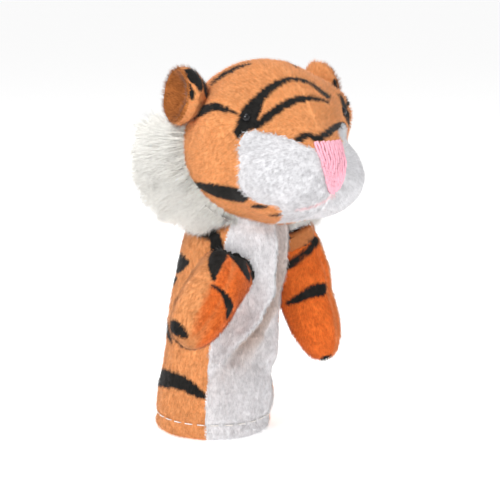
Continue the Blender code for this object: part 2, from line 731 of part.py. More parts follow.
def build():
    """Make every piece of the puppet."""
    clear_scene()
    finishes = {
        "orange": material("orange plush", (0.86, 0.36, 0.10)),
        "white": material("white plush", (0.90, 0.89, 0.90)),
        "lining": material("ear lining plush", (0.55, 0.22, 0.07)),
        "ruff": material("long cream pile", (0.90, 0.88, 0.84)),
        "fill": material("fibre fill", (0.93, 0.93, 0.90)),
        "pocket": material("pocket cloth", (0.80, 0.42, 0.16)),
        "thread": material("pink satin thread", (0.91, 0.46, 0.53), 0.45),
        "bead": material("black bead", (0.01, 0.01, 0.01), 0.12),
    }
    puppet = empty("puppet")
    head = empty("head", puppet)
    neck = sleeve_axis(SLEEVE_HEIGHT)
    head.location = neck + Vector((HEAD_LEFT, -HEAD_FORWARD, HEAD_RISE))
    head.rotation_euler.z = HEAD_TURN

    head_form = new_object("head_clearance", head_surface(grow=CLEARANCE), None, head, cutter=True)
    sleeve_form = sleeve_clearance(puppet)
    pocket_form = pocket_clearance(puppet)

    sleeve(finishes, puppet, head_form)
    arms(finishes, puppet, (sleeve_form,))
    finger_pocket(finishes["pocket"], puppet)
    head_panels(finishes, head, pocket_form)
    head_stuffing(finishes["fill"], head, pocket_form)
    stitched_nose(finishes["thread"], head)
    ears(finishes, head, head_form)
    for side, sign in (("right", -1), ("left", 1)):
        bead_eye(side, sign, finishes["bead"], head, head_form)
        ruff(side, sign, finishes["ruff"], head, (head_form, sleeve_form))


build()
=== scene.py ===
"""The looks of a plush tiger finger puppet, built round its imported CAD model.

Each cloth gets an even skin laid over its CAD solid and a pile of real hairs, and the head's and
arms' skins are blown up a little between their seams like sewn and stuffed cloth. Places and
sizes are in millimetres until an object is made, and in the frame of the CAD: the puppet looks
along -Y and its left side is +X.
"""

import math
from collections import namedtuple
from itertools import product

import bmesh
import bpy
import numpy as np
from mathutils import Matrix, Vector
from mathutils.bvhtree import BVHTree


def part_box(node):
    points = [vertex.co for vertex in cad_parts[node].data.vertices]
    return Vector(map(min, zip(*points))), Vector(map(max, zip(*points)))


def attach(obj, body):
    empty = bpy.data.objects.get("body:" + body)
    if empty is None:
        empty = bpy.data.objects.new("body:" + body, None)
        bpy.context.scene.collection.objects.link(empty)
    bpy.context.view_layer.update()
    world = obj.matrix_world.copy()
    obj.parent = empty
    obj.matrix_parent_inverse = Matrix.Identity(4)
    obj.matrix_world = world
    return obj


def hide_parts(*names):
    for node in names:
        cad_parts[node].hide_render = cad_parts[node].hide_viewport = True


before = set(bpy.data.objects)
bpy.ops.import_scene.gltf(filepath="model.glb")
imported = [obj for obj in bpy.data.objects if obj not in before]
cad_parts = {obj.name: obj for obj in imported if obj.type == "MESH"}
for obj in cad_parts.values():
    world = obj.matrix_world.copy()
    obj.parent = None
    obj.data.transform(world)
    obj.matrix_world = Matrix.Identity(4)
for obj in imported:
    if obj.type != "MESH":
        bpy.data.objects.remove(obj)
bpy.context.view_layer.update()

MM = 0.001
SEED = 20

# The camera of the photograph: where it looks from, and at what point beside the hem's middle
CAMERA_TURN = math.radians(-40)
CAMERA_RISE = math.radians(10)
CAMERA_DISTANCE = 480.0
CAMERA_ASIDE = 12.06
CAMERA_UP = 55.56
CAMERA_LENS = 108.9

# The head's middle and turn, and the sleeve's heights, lean and mean radius, as in part.py
HEAD_MIDDLE = np.array((8.7, -14.5, 89.1))
HEAD_TURN = math.radians(-4)
HEAD_AXES = np.array(Matrix.Rotation(HEAD_TURN, 3, "Z"))
SLEEVE_TOP = 70.0
SLEEVE_HEIGHT = 62.0
SLEEVE_LEAN = np.array((5.4, -7.9))
SLEEVE_RADIUS = 18.5

# How far up the hem is turned, the height of its stitches and how deep they draw it in, and the
# thickness of the plush without its pile
HEM_HEIGHT = 6.0
STITCH_HEIGHT = 5.0
STITCH_PINCH = 0.5
CLOTH = 1.3

# Each arm's line from shoulder to paw
ARM_LINES = {"right": ((-5, -21, 58), (-35, -32, 37)), "left": ((23, -17, 62), (31, -21, 19))}

# How far the arms' cloth is drawn to the puppet's right and back, how much wider each arm is in
# some directions at its root and how far along it that goes, how far up its root is drawn, and
# the side on which a darker, deeper orange is painted as shade
ARM_SHIFT = (-1.2, 1.0, 0.0)
ARM_DRAWN = {
    "right": (),
    "left": (((-0.95, 0.30, 0.0), 0.5, 45.0), ((-0.95, 0.30, 0.0), 1.4, 16.0),
             ((0.77, -0.64, 0.0), 1.0, 20.0)),
}
ARM_RAISED = {"right": 0.0, "left": 5.0}
ARM_SHADED_SIDE = {"right": (0.77, -0.64, 0.0), "left": (-0.70, -0.70, 0.0)}

HEAD_PANELS = ("crown_panel", "head_back_panel", "cheek_right", "cheek_left",
               "muzzle_right", "muzzle_left")
SLEEVE_PANELS = ("belly_panel", "back_panel")

# How far from the skin a stripe's line may lie, and how far its black spreads and frays
STRIPE_REACH = 1.6
STRIPE_SPREAD = 0.2
STRIPE_FRAY = 0.18

# A hair's thickness over its width, the shares of its pile's length and width and of its colour
# that it may have, how deep its root sits in the skin, and how low it may hang over the floor
FLATNESS = 0.5
HAIR_LENGTHS = (0.65, 1.15)
HAIR_WIDTHS = (0.7, 1.3)
HAIR_SHADES = (0.84, 1.14)
HAIR_SUNK = 0.15
HAIR_LOWEST = 0.05

# A hair's triangles: its root has corners 0 to 2, and its tip is corner 3
HAIR_FACES = ((0, 1, 2), (1, 0, 3), (2, 1, 3), (0, 2, 3))

# How much deeper the cloth's folds are than those of the CAD, and the edges of the folds that
# the belly's slack cloth adds, as (angle, height, depth): beside each edge, towards the puppet's
# left, the cloth drops at once and comes back slowly
FOLD_DEPTH = 0.9
FOLD_EDGES = (
    ((-8, 66, 2.5), (-4, 56, 3.5), (1, 46, 4.5), (-9, 38, 4.5), (-23, 32, 4.0), (-38, 25, 1.0)),
    ((46, 27, 1.0), (34, 21, 3.0), (28, 14, 2.5), (30, 8, 0.5)),
    ((10, 72, 5.0), (12, 58, 6.5), (18, 50, 5.0), (26, 44, 1.0)),
)
FOLD_WIDTH = 10.0
FOLD_STEP = 1.3

# Painted shade in the belly's folds: the share of its red, green and blue that the belly's pile
# loses to each mm of a fold's depth, most of its blue, so that the painted shade is warm
FOLD_PAINTED_SHADE = (0.085, 0.120, 0.140)

# The rows and columns of the sleeve's skin, its turned edge below them as (height, inset), and
# how far it lies in from the CAD's face to leave room for its pile
SLEEVE_ROWS = 72
SLEEVE_COLUMNS = 132
HEM_EDGE = ((1.2, 0.25), (0.4, 0.8), (0.0, 1.9), (0.0, 2.9), (0.5, 3.9), (1.8, 4.2), (3.6, 4.2),
            (HEM_HEIGHT, 4.2))
SLEEVE_INSET = 0.7

# How far the stuffed brow swells out beside the eyes, and the turn and rise in degrees where it
# does and over which it fades
BROW_SWELL = 4.2
BROW_PLACE = (66, 26)
BROW_FADE = (17, 19)

# How far down the muzzle's cloth is drawn under the chin, and how far up the cheek's at the jaw
CHIN_DRAWN = 16.0
JAW_DRAWN = 4.0

# The strip behind each cheek's seam that the ruff grows from: its width, and its ends as
# degrees above and below the level of the head's middle
RUFF_BAND = 5.0
RUFF_HIGH = 30.0
RUFF_LOW = {"right": -64.0, "left": -80.0}

# The ruff's hairs to a square mm on its core and on that strip, and their longest on the strip
RUFF_DENSITIES = (14.0, 26.0)
RUFF_LENGTH = 9.5

# Linear colours, as root and tip of the pile: each root is darker than its tip, as painted shade
# down among the hairs, and each tip paler, as painted sheen
Tint = namedtuple("Tint", "root tip")
ORANGE = Tint((0.72, 0.25, 0.074), (0.79, 0.325, 0.120))
# A darker, deeper orange, painted as shade on the side of each arm turned away from the light
SHADED_ORANGE = Tint((0.66, 0.10, 0.010), (0.84, 0.17, 0.022))
WHITE = Tint((0.78, 0.77, 0.79), (0.87, 0.86, 0.88))
# The muzzle's white is a darker copy of the belly's: painted shade against the light that falls
# full on it
MUZZLE_SHADED_WHITE = Tint((0.67, 0.66, 0.68), (0.735, 0.73, 0.75))
CREAM = Tint((0.95, 0.92, 0.85), (0.98, 0.97, 0.92))
# The lining's brown is partly its own colour and partly painted shade of the ear's hollow
LINING = Tint((0.22, 0.060, 0.010), (0.46, 0.15, 0.035))
BLACK = Tint((0.005, 0.005, 0.004), (0.012, 0.011, 0.010))
BLUSH = Tint((0.80, 0.50, 0.52), (0.88, 0.66, 0.68))
PINK = (0.90, 0.42, 0.52)

# Pile of each cloth: hairs to a square mm, length, half width, how upright and how ruffled
Pile = namedtuple("Pile", "density length half_width lift ruffle")
SHORT_PILE = Pile(6.0, 1.8, 0.09, 0.30, 0.26)
WHITE_PILE = Pile(9.5, 1.7, 0.09, 0.30, 0.24)
LINING_PILE = Pile(6.5, 1.7, 0.10, 0.45, 0.60)

# Stripes of the head as lines of (turn from the front, rise, half width), in degrees round the
# head's middle and mm; - is to the puppet's right
EYE_ARC = ((-53, 14, 1.0), (-48, 21, 2.3), (-45, 28, 2.5), (-40, 37, 1.5), (-29, 47, 1.3),
           (-6, 55, 0.9), (16, 51, 1.0), (26, 40, 1.5), (33, 37, 0.5))
BROW_ARC = ((-40, 20, 0.9), (-28, 29, 1.1), (-12, 36, 1.0), (7, 37, 0.7), (24, 33, 0.3))
BRIDGE = ((-17, 10, 0.5), (-13, 11, 1.1), (-9, 12, 0.7), (-5, 10, 1.3), (2, 12, 1.0),
          (14, 15, 0.8), (32, 17, 0.8), (46, 15, 0.8), (50, 9, 0.7), (45, 5, 0.3))
CROWN_EDGE = ((-98, 50, 1.2), (-93, 60, 1.6), (-86, 69, 1.3), (-74, 75, 0.6))
CROWN_BACK = ((45, 67, 0.4), (80, 72, 0.8), (115, 68, 0.4))
HEAD_STRIPES = (EYE_ARC, BROW_ARC, BRIDGE, CROWN_EDGE, CROWN_BACK)
EYE_TO_EAR = ((-112, 24, 0.9), (-93, 26, 1.5), (-78, 28, 1.4), (-66, 28, 0.9), (-54, 26, 0.2))
CHEEK_BAND = ((-122, -25, 0.8), (-92, -25, 1.4), (-76, -27, 2.3), (-60, -28, 2.6),
              (-51, -25, 1.9), (-45, -22, 0.5))
JAW_MARK = ((-44, -31, 0.2), (-39, -28, 0.6), (-34, -26, 0.2))
CHIN_MARK = ((-32, -34, 0.3), (-26, -31, 0.5), (-21, -29, 0.7))
BACK_HIGH = ((118, 30, 0.6), (140, 38, 1.4), (160, 42, 1.0), (172, 44, 0.2))
BACK_MIDDLE = ((112, 4, 0.6), (135, 10, 1.6), (155, 14, 1.2), (168, 15, 0.2))
BACK_LOW = ((120, -18, 0.5), (142, -14, 1.5), (165, -12, 0.9), (176, -12, 0.2))
MIRRORED_HEAD_STRIPES = (EYE_TO_EAR, CHEEK_BAND, JAW_MARK, CHIN_MARK, BACK_HIGH, BACK_MIDDLE,
                         BACK_LOW)
FAR_EYE_PATCH = ((56, 15, 1.0), (52, 23, 1.9), (54, 33, 1.0))
MOUTH = ((2, -19, 0.5), (-3, -22, 0.45), (-10, -24, 0.4), (-18, -26, 0.3))

# How much larger each ear's skin is than the CAD's, and the direction and share by which the
# wall that faces there is drawn out, or in where it is negative
EAR_GROWTH = 1.06
EAR_DRAWN = {"right": ((0.77, -0.64, 0.0), 0.38), "left": ((-0.77, 0.64, 0.0), -0.25)}

# Stripes of the ears, as those of the head but round the middle of each ear
EAR_STRIPES = {
    "right": (
        ((-3, 66, 1.4), (-1, 47, 1.9), (5, 30, 1.4), (1, 17, 0.5)),
        ((-32, 39, 0.5), (-20, 18, 0.9), (-15, 2, 0.6)),
        ((35, -1, 0.6), (24, 14, 1.1), (34, 32, 1.1)),
    ),
    "left": (
        ((12, 24, 0.4), (8, 8, 1.2), (10, -8, 0.7)),
        ((150, 40, 0.5), (165, 15, 1.4), (150, -10, 0.5)),
    ),
}

# Stripes of the sleeve as (angle from the middle of the chest, height, half width)
SHOULDER_BAND = ((-150, 64.0, 0.7), (-122, 64.2, 1.1), (-95, 64.2, 1.4), (-70, 63.5, 1.8),
                 (-62, 59.0, 2.2))
FAR_SHOULDER = ((100, 64.0, 0.5), (80, 64.0, 1.4), (62, 62.0, 1.6))
SLEEVE_STRIPES = (SHOULDER_BAND, FAR_SHOULDER)
UPPER_PATCH = ((-160, 52.0, 0.4), (-138, 52.5, 3.0), (-118, 53.2, 2.8), (-98, 54.6, 0.6))
LOWER_PATCH = ((-148, 46.5, 0.3), (-132, 47.0, 1.6), (-120, 48.3, 0.4))
WAIST_PATCH = ((-179, 31.0, 0.3), (-158, 32.0, 1.8), (-130, 31.0, 1.9), (-106, 28.5, 0.3))
HEM_BAND = ((-160, 12.0, 0.4), (-133, 15.5, 2.6), (-103, 17.3, 2.7), (-80, 17.7, 2.4),
            (-63, 16.2, 1.8), (-50, 14.0, 0.7))
SIDE_MARK = ((-64, 31.0, 0.3), (-58, 31.7, 0.9), (-51, 32.6, 0.9))
MIRRORED_SLEEVE_STRIPES = (UPPER_PATCH, LOWER_PATCH, WAIST_PATCH, HEM_BAND, SIDE_MARK)

# Stripes of the arms as (degrees round the arm's line from its front, mm along it, half width)
ARM_STRIPES = {
    "right": (
        ((125, 1.5, 2.0), (104, 6.0, 2.4), (84, 12.0, 2.0), (64, 18.5, 0.4)),
        ((115, 2.6, 1.4), (77, 4.0, 1.5), (43, 4.5, 1.8), (14, 6.0, 2.0), (-7, 6.8, 2.0),
         (-35, 6.5, 1.2)),
        ((58, 20.8, 0.4), (38, 20.2, 0.6), (10, 21.3, 1.2), (-5, 22.3, 1.6), (-15, 25.0, 0.4)),
        ((150, 33.4, 1.2), (125, 35.0, 1.9), (93, 36.3, 1.2), (66, 36.6, 0.3)),
    ),
    "left": (
        ((150, 14.0, 0.8), (110, 11.0, 1.4), (80, 8.0, 1.4), (53, 5.6, 1.2), (25, 4.2, 1.1),
         (-2, 3.2, 1.4), (-14, 3.0, 0.6)),
        ((103, 20.7, 0.5), (82, 19.3, 1.1), (58, 18.1, 1.5), (34, 17.7, 1.9), (17, 18.0, 1.9)),
        ((100, 41.6, 0.3), (57, 40.8, 1.0), (30, 40.2, 0.5)),
        ((-60, 24.0, 0.4), (-95, 22.0, 1.4), (-130, 23.0, 0.4)),
    ),
}

# Stitches round the hem and the share of its step that each fills, and columns and rows of
# stitches on the nose, with the heights of its ends, its half width and how far its end dips
HEM_STITCHES = 26
HEM_STITCH_SHARE = 0.72
HEM_THREAD = (0.90, 0.86, 0.82)
NOSE_COLUMNS = 12
NOSE_ROWS = 6
NOSE_TOP = 4.4
NOSE_BOTTOM = -10.6
NOSE_HALF = 4.7
NOSE_DIP = 1.5

# An eye's half sizes across and out of the pile, and how deep it sits
EYE_HALF = 1.3
EYE_DOME = 1.0
EYE_SUNK = 0.3

# The studio in m and W: each lamp's name, place, size and power, what they look at, and how
# bright the floor glows and the world is, for its light and for the camera
LAMPS = (("key", (-0.63, -0.20, 0.60), 0.30, 4.3), ("fill", (0.5, -0.6, 0.30), 0.5, 1.3),
         ("top", (-0.05, 0.0, 0.9), 0.5, 2.0), ("rear", (0.2, 0.8, 0.45), 0.5, 1.6))
LAMP_AIM = Vector((0, 0, 0.06))
FLOOR_HALF = 40.0
FLOOR_GLOW = 0.52
WORLD_LIGHT = 0.48
WORLD_SEEN = 0.98
PALE = (0.9, 0.9, 0.9, 1)
WHITEST = (1.0, 1.0, 1.0, 1)

Skin = namedtuple("Skin", "points normals triangles places")
Block = namedtuple("Block", "points normals triangles places colours")


# Arrays and surfaces

def unit(vectors):
    """Vectors of length one."""
    return vectors / np.maximum(np.linalg.norm(vectors, axis=-1, keepdims=True), 1e-9)


def ramp(values, start, end):
    """0 at start, 1 at end and level beyond them."""
    return np.clip((values - start) / (end - start), 0, 1)


def bell(values, width):
    """1 at zero, and less over a width to both sides."""
    return np.exp(-(values / width) ** 2)


def ray_at(turn, rise=0.0):
    """The ray at a turn from the puppet's front and a rise, in radians."""
    return np.array((math.sin(turn) * math.cos(rise), -math.cos(turn) * math.cos(rise),
                     math.sin(rise)))


def degrees_up(up, along):
    """The angle in degrees of a slope that goes so far up and along."""
    return np.degrees(np.arctan2(up, along))


def wander(points, swell, seed):
    """Smooth random vectors over space, which change over distances of about swell."""
    table = np.random.default_rng(seed).uniform(-1, 1, (16, 16, 16, 3))
    place = points / swell
    low = np.floor(place).astype(int)
    part = place - low
    part = part * part * (3 - 2 * part)
    total = np.zeros(points.shape)
    for corner in product((0, 1), repeat=3):
        share = np.prod(np.where(corner, part, 1 - part), axis=1)
        x, y, z = ((low + corner) % 16).T
        total += share[:, None] * table[x, y, z]
    return total


def normals_of(points, triangles):
    """Smooth normals at the points of a mesh."""
    first, second, third = (points[triangles[:, corner]] for corner in range(3))
    facing = np.cross(second - first, third - first)
    total = np.zeros(points.shape)
    for corner in range(3):
        np.add.at(total, triangles[:, corner], facing)
    return unit(total)


def edges_of(triangles):
    """The three edges of each triangle, one way round."""
    return np.concatenate([triangles[:, (0, 1)], triangles[:, (1, 2)], triangles[:, (2, 0)]])


def neighbours(triangles):
    """Pairs of points that share an edge, each both ways round."""
    edges = edges_of(triangles)
    return np.unique(np.concatenate([edges, edges[:, ::-1]]), axis=0)


def evened(values, triangles, rounds, known=None):
    """Values averaged with those next to them; with known, only the unknown ones change."""
    start, end = neighbours(triangles).T
    values = values.reshape(len(values), -1).astype(float)
    many = np.maximum(np.bincount(start, minlength=len(values)), 1)[:, None]
    for _ in range(rounds):
        near = np.stack([np.bincount(start, column[end], minlength=len(values))
                         for column in values.T], axis=1) / many
        values = (values + near) / 2 if known is None else np.where(known[:, None], values, near)
    return values


def cad_mesh(names):
    """The points in mm and the faces of CAD nodes."""
    points, faces = [], []
    for name in names:
        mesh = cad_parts[name].data
        start = len(points)
        points += [point.co / MM for point in mesh.vertices]
        faces += [[start + corner for corner in face.vertices] for face in mesh.polygons]
    return points, faces


def cad_tree(names):
    """A search tree over the faces of CAD nodes."""
    return BVHTree.FromPolygons(*cad_mesh(names))


def skin_tree(skin):
    """A search tree over a skin."""
    return BVHTree.FromPolygons(skin.points.tolist(), skin.triangles.tolist())


def outer_reach(tree, middles, rays, far, step):
    """How far out along each ray a form's outer face lies, across gaps up to two steps wide."""
    reach = np.zeros(len(rays))
    for index, (middle, ray) in enumerate(zip(middles, rays)):
        out = Vector(ray)
        aside = out.orthogonal().normalized() * step
        across = out.cross(aside)
        for shift in (Vector(), aside, -aside, across, -across):
            distance = tree.ray_cast(Vector(middle) + out * far + shift, -out, far)[3]
            if distance is not None:
                reach[index] = max(reach[index], far - distance)
    return reach


def distances(points, names):
    """How far each point is from each CAD node."""
    trees = [cad_tree([name]) for name in names]
    return np.array([[tree.find_nearest(Vector(point))[3] for tree in trees] for point in points])


def owners(skin, near):
    """Which node each triangle of a skin belongs to, by its corners' distances."""
    return near[skin.triangles].sum(1).argmin(1)


def flat_places(points, spread=1.0):
    """Places on a map for an open patch, looked at along its shortest side."""
    middle = points.mean(0)
    axes = np.linalg.svd(points - middle, full_matrices=False)[2]
    flat = (points - middle) @ axes[:2].T
    low, high = flat.min(0), flat.max(0)
    return (flat - low) / (high - low).max() * spread


def round_places(points, axis):
    """Places on a map for a panel of the head, laid out round an axis through its middle."""
    rays = unit(points - HEAD_MIDDLE)
    axis = unit(axis)
    side = unit(np.cross(axis, (0.1, 0.2, 1.0)))
    tilt = np.arccos(np.clip(rays @ axis, -1, 1)) / math.pi
    flat = unit(np.stack([rays @ side, rays @ np.cross(axis, side)], axis=1))
    return 0.5 + 0.5 * tilt[:, None] * flat


def patch(skin, chosen):
    """The part of a skin that has the chosen triangles."""
    used, triangles = np.unique(skin.triangles[chosen], return_inverse=True)
    return Skin(skin.points[used], skin.normals[used], triangles.reshape(-1, 3),
                skin.places[used])


def new_skin(points, triangles):
    """A skin that isn't laid out on a map yet."""
    return Skin(points, normals_of(points, triangles), triangles, np.zeros((len(points), 2)))


def reshaped(skin, points):
    """A skin with its points moved."""
    return skin._replace(points=points, normals=normals_of(points, skin.triangles))


def inset(skin, depth):
    """A skin moved inwards, to leave room for its pile."""
    return reshaped(skin, skin.points - skin.normals * np.reshape(depth, (-1, 1)))


def sewn_closed(skin, colours, shaded_back_colours, thickness=CLOTH):
    """The closed cloth under a patch: the patch, its back and the edges between; the back takes
    darker colours, painted shade of the inside.
    """
    count = len(skin.points)
    faces = skin.triangles
    there = {tuple(edge) for edge in edges_of(faces).tolist()}
    rim = np.array([(a, b) for a, b in there if (b, a) not in there], int).reshape(-1, 2)
    start, end = rim.T
    walls = [np.stack([end, start, start + count], axis=1),
             np.stack([end, start + count, end + count], axis=1)]
    return Block(
        np.concatenate([skin.points, skin.points - skin.normals * thickness]),
        np.concatenate([skin.normals, -skin.normals]),
        np.concatenate([faces, faces[:, ::-1] + count, *walls]),
        np.concatenate([skin.places, skin.places]),
        np.concatenate([colours, shaded_back_colours]),
    )


def shown(name, data):
    """A new object in the scene."""
    made = bpy.data.objects.new(name, data)
    bpy.context.scene.collection.objects.link(made)
    return made


def puffed(points, triangles, sewn, pressure, cap):
    """Points of a stuffed form after a cloth simulation blows it up between its seams."""
    scale, steps = 0.02, 15
    mesh = bpy.data.meshes.new("stuffed")
    mesh.from_pydata((points * scale).tolist(), [], triangles.tolist())
    form = shown("stuffed", mesh)
    group = form.vertex_groups.new(name="sewn")
    for index, weight in enumerate(sewn):
        group.add([index], float(weight), "REPLACE")
    cloth = form.modifiers.new("cloth", "CLOTH")
    cloth.settings.quality = 4
    cloth.settings.use_pressure = True
    cloth.settings.uniform_pressure_force = pressure
    cloth.settings.vertex_group_mass = "sewn"
    cloth.settings.effector_weights.gravity = 0
    for step in range(1, steps + 1):
        bpy.context.scene.frame_set(step)
    drawn = form.evaluated_get(bpy.context.evaluated_depsgraph_get())
    moved = np.empty(len(points) * 3)
    drawn.data.vertices.foreach_get("co", moved)
    bpy.data.objects.remove(form)
    bpy.context.scene.frame_set(1)
    shift = moved.reshape(-1, 3) / scale - points
    far = np.linalg.norm(shift, axis=1, keepdims=True)
    return points + shift * np.minimum(1, cap / np.maximum(far, 1e-9))


# Stripes and colours

def to_head(points):
    """Points as seen from the head's middle, before its turn."""
    return (points - HEAD_MIDDLE) @ HEAD_AXES


def from_head(points):
    """The other way round."""
    return points @ HEAD_AXES.T + HEAD_MIDDLE


def mirrored(stripes):
    """Stripes and their mirror images, left and right."""
    return [[(turn * side, *rest) for turn, *rest in stripe]
            for stripe in stripes for side in (1, -1)]


def rounded(spots, steps=5):
    """A smooth line through spots."""
    spots = np.array(spots, float)
    padded = np.concatenate([spots[:1], spots, spots[-1:]])
    line = []
    for index in range(len(spots) - 1):
        before, start, end, after = padded[index:index + 4]
        for share in np.arange(steps) / steps:
            line.append(start + (end - before) / 2 * share
                        + (before - 2.5 * start + 2 * end - after / 2) * share ** 2
                        + (1.5 * (start - end) + (after - before) / 2) * share ** 3)
    return line + [spots[-1]]


def laid_on(skin, stripes, aim):
    """Stripes laid on a skin, as lines of places with half widths; aim gives each ray."""
    tree = skin_tree(skin)
    laid = []
    for stripe in stripes:
        line = []
        for first, second, half in rounded(stripe):
            middle, ray = aim(first, second)
            spot = tree.ray_cast(Vector(middle + ray * 60), Vector(-ray))[0]
            if spot is not None:
                line.append((*spot, half))
        laid.append(np.array(line))
    return laid


def head_aim(turn, rise, middle=HEAD_MIDDLE):
    """The middle of the head and the ray at a turn and a rise."""
    return middle, ray_at(math.radians(turn) + HEAD_TURN, math.radians(rise))


def sleeve_middle(height):
    """The middle of the sleeve at a height."""
    lean = SLEEVE_LEAN * (max(height, 0.0) / SLEEVE_HEIGHT) ** 1.5
    return np.array((*lean, height))


def sleeve_aim(angle, height):
    """The sleeve's middle at a height and the level ray at an angle from its chest."""
    return sleeve_middle(height), ray_at(math.radians(angle))


def arm_aim(side):
    """Rays out of an arm's line, at an angle from its front and a distance along it."""
    start, end = (np.array(spot, float) for spot in ARM_LINES[side])
    axis = unit(end - start)
    front = np.array((0.0, -1.0, 0.0))
    front = unit(front - axis * (front @ axis))
    beside = np.cross(axis, front)

    def aim(angle, along):
        turn = math.radians(angle)
        return start + axis * along, front * math.cos(turn) + beside * math.sin(turn)
    return aim


def cover(points, normals, stripes, edge=0.3):
    """How far each point of a skin lies under the stripes just above it, from 0 to 1."""
    inside = np.full(len(points), -9.0)
    for spots in stripes:
        for start, end in zip(spots, spots[1:]):
            line = end[:3] - start[:3]
            share = np.clip((points - start[:3]) @ line / max(line @ line, 1e-6), 0, 1)
            aside = points - start[:3] - share[:, None] * line
            over = (aside * normals).sum(1, keepdims=True)
            aside -= np.clip(over, -STRIPE_REACH, STRIPE_REACH) * normals
            gap = np.linalg.norm(aside, axis=1)
            inside = np.maximum(inside, start[3] + (end[3] - start[3]) * share - gap)
    inside += STRIPE_SPREAD + STRIPE_FRAY * wander(points, 0.8, 5)[:, 0]
    blend = np.clip(inside / edge + 0.5, 0, 1)
    return blend * blend * (3 - 2 * blend)


def tinted(points, normals, tint, stripes=(), mark=BLACK, shaded_side=None):
    """Root and tip colours of the pile on a skin, under stripes; towards shaded_side a darker
    orange is painted as shade.
    """
    tone = 1 + 0.07 * wander(points, 9.0, 1)[:, :1] + 0.06 * wander(points, 2.5, 2)[:, :1]
    under = cover(points, normals, stripes)[:, None]
    # Painted shade: the orange darkens towards shaded_side
    turned = 0 if shaded_side is None else ramp(normals @ shaded_side, 0.1, 0.55)[:, None]
    own = [np.array(plain) * (1 - turned) + np.array(shaded_colour) * turned
           for plain, shaded_colour in zip(tint, SHADED_ORANGE)]
    return [shown * tone * (1 - under) + np.array(dark) * under
            for shown, dark in zip(own, mark)]


# Pile

def scatter(skin, density, random, values=None):
    """Spots spread over a skin, with their normals, map places and other values."""
    corners = [skin.points[skin.triangles[:, corner]] for corner in range(3)]
    area = np.linalg.norm(np.cross(corners[1] - corners[0], corners[2] - corners[0]), axis=1) / 2
    count = int(area.sum() * density)
    face = skin.triangles[random.choice(len(area), count, p=area / area.sum())]
    share = random.random((count, 2))
    over = share.sum(1) > 1
    share[over] = 1 - share[over]
    share = np.column_stack([1 - share.sum(1), share])[:, :, None]
    kinds = (skin.points, skin.normals, skin.places) + (() if values is None else (values,))
    return [(kind[face] * share).sum(1) for kind in kinds]


def combed(points, normals, nap, lift, ruffle, random):
    """Directions of the pile: laid along the nap, in loose tufts."""
    flat = unit(nap - normals * (nap * normals).sum(1, keepdims=True))
    loose = wander(points, 2.2, 3) + 0.5 * random.normal(size=points.shape)
    return unit(normals * lift + flat * (1 - lift) + loose * ruffle * 0.5)


def hairs(starts, ends, half_widths, normals, places, roots, tips, random):
    """Closed hairs, each with a three-sided root and one tip, as one block."""
    along = unit(ends - starts)
    side = unit(np.cross(along, normals + 0.01))
    other = np.cross(side, along)
    twist = math.pi / 2 + random.normal(0, 0.35, len(starts))
    points, outward = [], []
    for corner in range(3):
        turn = (twist + corner * 2 * math.pi / 3)[:, None]
        ray = side * np.cos(turn) + other * np.sin(turn) * FLATNESS
        points.append(starts + ray * half_widths[:, None])
        outward.append(unit(normals + 0.35 * ray))
    rows = ([*points, ends], [*outward, normals], [roots, roots, roots, tips])
    points, outward, colours = (np.stack(row, axis=1).reshape(-1, 3) for row in rows)
    triangles = 4 * np.arange(len(starts))[:, None, None] + np.array(HAIR_FACES)
    return Block(points, outward, triangles.reshape(-1, 3), np.repeat(places, 4, axis=0), colours)


def pile(spots, kind, nap, tint, stripes, random, mark=BLACK, shaded_side=None):
    """The pile that stands on spots of a skin."""
    points, normals, places = spots
    normals = unit(normals)
    directions = combed(points, normals, nap(points), kind.lift, kind.ruffle, random)
    lengths = kind.length * random.uniform(*HAIR_LENGTHS, len(points))[:, None]
    middles = points + directions * lengths * 0.5
    roots, tips = tinted(middles, normals, tint, stripes, mark, shaded_side)
    shade = random.uniform(*HAIR_SHADES, (len(points), 1))
    starts = points - normals * HAIR_SUNK
    ends = points + directions * lengths
    for row in (starts, ends):
        row[:, 2] = np.maximum(row[:, 2], HAIR_LOWEST)
    widths = kind.half_width * random.uniform(*HAIR_WIDTHS, len(points))
    return hairs(starts, ends, widths, normals, places, roots * shade, tips * shade, random)


def placed(mesh, finish, nodes):
    """An object that shows a mesh, rides on the puppet and stands for its CAD nodes."""
    mesh.materials.append(finish)
    made = shown(mesh.name, mesh)
    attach(made, "root")
    if nodes:
        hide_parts(*nodes)
    return made


def piece(name, blocks, finish, nodes):
    """One object made of blocks."""
    starts = np.cumsum([0] + [len(block.points) for block in blocks])
    triangles = np.concatenate([block.triangles + start for block, start in zip(blocks, starts)])
    points, normals, places, colours = (
        np.concatenate([getattr(block, field) for block in blocks])
        for field in ("points", "normals", "places", "colours"))
    mesh = bpy.data.meshes.new(name)
    mesh.vertices.add(len(points))
    mesh.vertices.foreach_set("co", (points * MM).ravel())
    mesh.loops.add(triangles.size)
    mesh.loops.foreach_set("vertex_index", triangles.ravel())
    mesh.polygons.add(len(triangles))
    mesh.polygons.foreach_set("loop_start", np.arange(0, triangles.size, 3))
    mesh.update(calc_edges=True)
    tint = mesh.attributes.new("tint", "FLOAT_COLOR", "POINT")
    tint.data.foreach_set("color", np.column_stack([colours, np.ones(len(points))]).ravel())
    layout = mesh.uv_layers.new(name="OFBake")
    layout.uv.foreach_set("vector", places[triangles.ravel()].ravel())
    mesh.shade_smooth()
    mesh.normals_split_custom_set_from_vertices(normals.tolist())
    return placed(mesh, finish, nodes)


# Materials

def filled(node, values):
    """A shader node with some of its inputs set."""
    for name, value in values.items():
        node.inputs[name].default_value = value
    return node


def new_finish(name, values):
    """A new material with these values, its shader, and its nodes and links."""
    made = bpy.data.materials.new(name)
    made.use_nodes = True
    nodes, links = made.node_tree.nodes, made.node_tree.links
    return made, filled(nodes["Principled BSDF"], values), nodes, links


